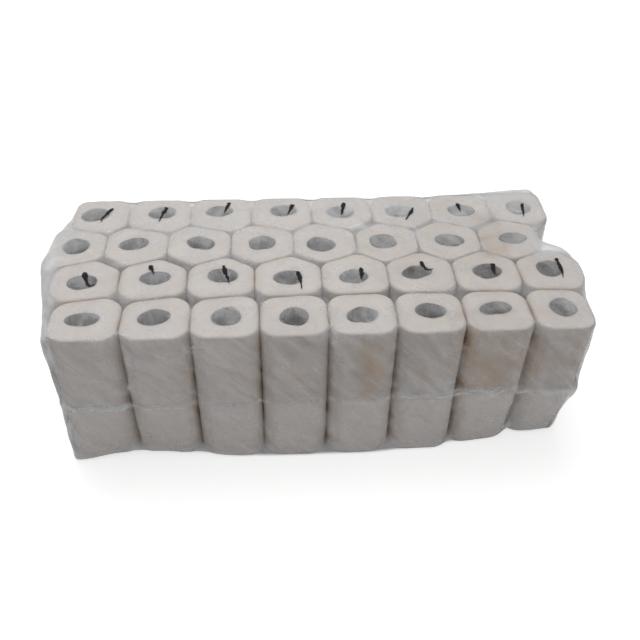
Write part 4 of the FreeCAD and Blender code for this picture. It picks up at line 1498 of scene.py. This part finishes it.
def make_pen_marks(settings):
    """A quick stroke of black felt pen on the film over each roll of rows b and d."""
    strokes = crease_strokes(SEED + 2)
    ink = felt_pen(settings.pen)
    for number, mark in enumerate(PEN_MARKS, 1):
        deselect()
        bpy.ops.mesh.primitive_grid_add(x_subdivisions=28, y_subdivisions=4, size=1)
        piece = bpy.context.object
        piece.name = piece.data.name = f"pen_mark_{number}"
        x, y, _ = points_of(piece.data).T
        plan = stroke_plan(mark, number, x / np.ptp(x) + 0.5, y / np.ptp(y))
        set_points(piece.data, np.column_stack([plan, top_level(plan, strokes) + INK_UP]))
        face_outward()
        solid = piece.modifiers.new("ink_thickness", "SOLIDIFY")
        solid.thickness = INK_THICKNESS
        solid.offset = 1
        bpy.ops.object.modifier_apply(modifier=solid.name)
        bpy.ops.object.shade_smooth()
        piece.data.materials.append(ink)
        finish_piece(piece, "film")


# ---------------------------------------------------------------- floor, lamps and camera

CAMERA_PLACE = (-0.0548, -0.93685, 0.8978)
CAMERA_PITCH, CAMERA_YAW, CAMERA_ROLL = 40.2, 3.98, 1.14  # degrees


def make_stage(settings):
    """The white floor, soft lamps and the camera."""
    deselect()
    bpy.ops.mesh.primitive_plane_add(size=14, location=(0, 0, -0.5 * MM))
    floor = bpy.context.object
    floor.name = "studio_floor"
    floor.data.materials.append(pale_floor())

    lamp("top_lamp", (-0.3, 1.1, 2.4), (0, 0.1, 0.1), 2.4, settings.top_light)
    lamp("front_lamp", (-1.4, -2.6, 1.2), (0, 0, 0.1), 1.4, settings.front_light)
    lamp("spark_lamp", (0.55, -2.3, 1.2), (0, -0.1, 0.15), 0.16, settings.spark_light)
    white_room(settings.sky)
    place_camera(settings.lens)
    bpy.context.scene.view_settings.view_transform = "Standard"


def white_room(sky):
    """A world that is white to look at. How much it lights the pack is set apart from that."""
    world = bpy.data.worlds.new("white_room")
    bpy.context.scene.world = world
    world.use_nodes = True
    tree = world.node_tree
    tree.nodes.clear()
    light = add_node(tree, "ShaderNodeMix", {0: seen_directly(tree), 2: sky, 3: 1.0})
    white = add_node(tree, "ShaderNodeBackground", {
        "Color": srgb("FFFFFF"), "Strength": light.outputs[0]})
    output = add_node(tree, "ShaderNodeOutputWorld", {"Surface": white.outputs["Background"]})
    output.is_active_output = True


def place_camera(lens):
    """The camera, from its place and the way it faces."""
    pitch, yaw, roll = (math.radians(a) for a in (CAMERA_PITCH, CAMERA_YAW, CAMERA_ROLL))
    ahead = Vector((math.sin(yaw) * math.cos(pitch), math.cos(yaw) * math.cos(pitch),
                    -math.sin(pitch)))
    right = Vector((math.cos(yaw), -math.sin(yaw), 0))
    up = right.cross(ahead)
    across = right * math.cos(roll) + up * math.sin(roll)
    upright = up * math.cos(roll) - right * math.sin(roll)
    camera = add_object("studio_camera", bpy.data.cameras.new("studio_camera"))
    camera.data.lens = lens
    camera.data.sensor_width = 36
    place = Matrix((across, upright, -ahead)).transposed().to_4x4()
    place.translation = Vector(CAMERA_PLACE)
    camera.matrix_world = place
    bpy.context.scene.camera = camera


def lamp(name, place, target, size, power):
    """A square soft lamp that faces a point."""
    data = bpy.data.lights.new(name, "AREA")
    data.energy = power
    data.size = size
    lit = add_object(name, data)
    lit.location = place
    lit.rotation_euler = (Vector(target) - Vector(place)).to_track_quat("-Z", "Y").to_euler()


# ---------------------------------------------------------------- add-on

class TOWELPACK_OT_rolls(bpy.types.Operator):
    """Make the 32 pressed paper towel rolls"""
    bl_idname = "towelpack.rolls"
    bl_label = "Rolls"

    def execute(self, context):
        make_rolls(context.scene.roll_settings)
        return {"FINISHED"}


class TOWELPACK_OT_cores(bpy.types.Operator):
    """Make the squashed cardboard cores of the rolls"""
    bl_idname = "towelpack.cores"
    bl_label = "Cores"

    def execute(self, context):
        make_cores(context.scene.roll_settings)
        return {"FINISHED"}


class TOWELPACK_OT_wrap(bpy.types.Operator):
    """Make the upper and lower film of the wrap"""
    bl_idname = "towelpack.wrap"
    bl_label = "Wrap"

    def execute(self, context):
        make_wrap(context.scene.wrap_settings)
        return {"FINISHED"}


class TOWELPACK_OT_pen_marks(bpy.types.Operator):
    """Make the felt pen strokes on the film"""
    bl_idname = "towelpack.pen_marks"
    bl_label = "Pen marks"

    def execute(self, context):
        make_pen_marks(context.scene.wrap_settings)
        return {"FINISHED"}


class TOWELPACK_OT_stage(bpy.types.Operator):
    """Make the floor, the lamps and the camera"""
    bl_idname = "towelpack.stage"
    bl_label = "Stage"

    def execute(self, context):
        make_stage(context.scene.stage_settings)
        return {"FINISHED"}


class TOWELPACK_PT_panel(bpy.types.Panel):
    """Sizes, colours and the steps that make the pack"""
    bl_idname = "TOWELPACK_PT_panel"
    bl_label = "Towel pack"
    bl_space_type = "VIEW_3D"
    bl_region_type = "UI"
    bl_category = "Towel pack"

    def draw(self, context):
        for settings, operators in (
            (context.scene.roll_settings, (TOWELPACK_OT_rolls, TOWELPACK_OT_cores)),
            (context.scene.wrap_settings, (TOWELPACK_OT_wrap, TOWELPACK_OT_pen_marks)),
            (context.scene.stage_settings, (TOWELPACK_OT_stage,)),
        ):
            box = self.layout.box()
            for name in type(settings).__annotations__:
                box.prop(settings, name)
            for operator in operators:
                box.operator(operator.bl_idname)


CLASSES = (
    RollSettings, WrapSettings, StageSettings, TOWELPACK_OT_rolls, TOWELPACK_OT_cores,
    TOWELPACK_OT_wrap, TOWELPACK_OT_pen_marks, TOWELPACK_OT_stage, TOWELPACK_PT_panel,
)


def register():
    for cls in CLASSES:
        bpy.utils.register_class(cls)
    scene = bpy.types.Scene
    scene.roll_settings = bpy.props.PointerProperty(type=RollSettings)
    scene.wrap_settings = bpy.props.PointerProperty(type=WrapSettings)
    scene.stage_settings = bpy.props.PointerProperty(type=StageSettings)


def unregister():
    scene = bpy.types.Scene
    del scene.roll_settings, scene.wrap_settings, scene.stage_settings
    for cls in reversed(CLASSES):
        bpy.utils.unregister_class(cls)


def main():
    register()
    bpy.ops.towelpack.rolls()
    bpy.ops.towelpack.cores()
    bpy.ops.towelpack.wrap()
    bpy.ops.towelpack.pen_marks()
    bpy.ops.towelpack.stage()


if __name__ == "__main__":
    main()
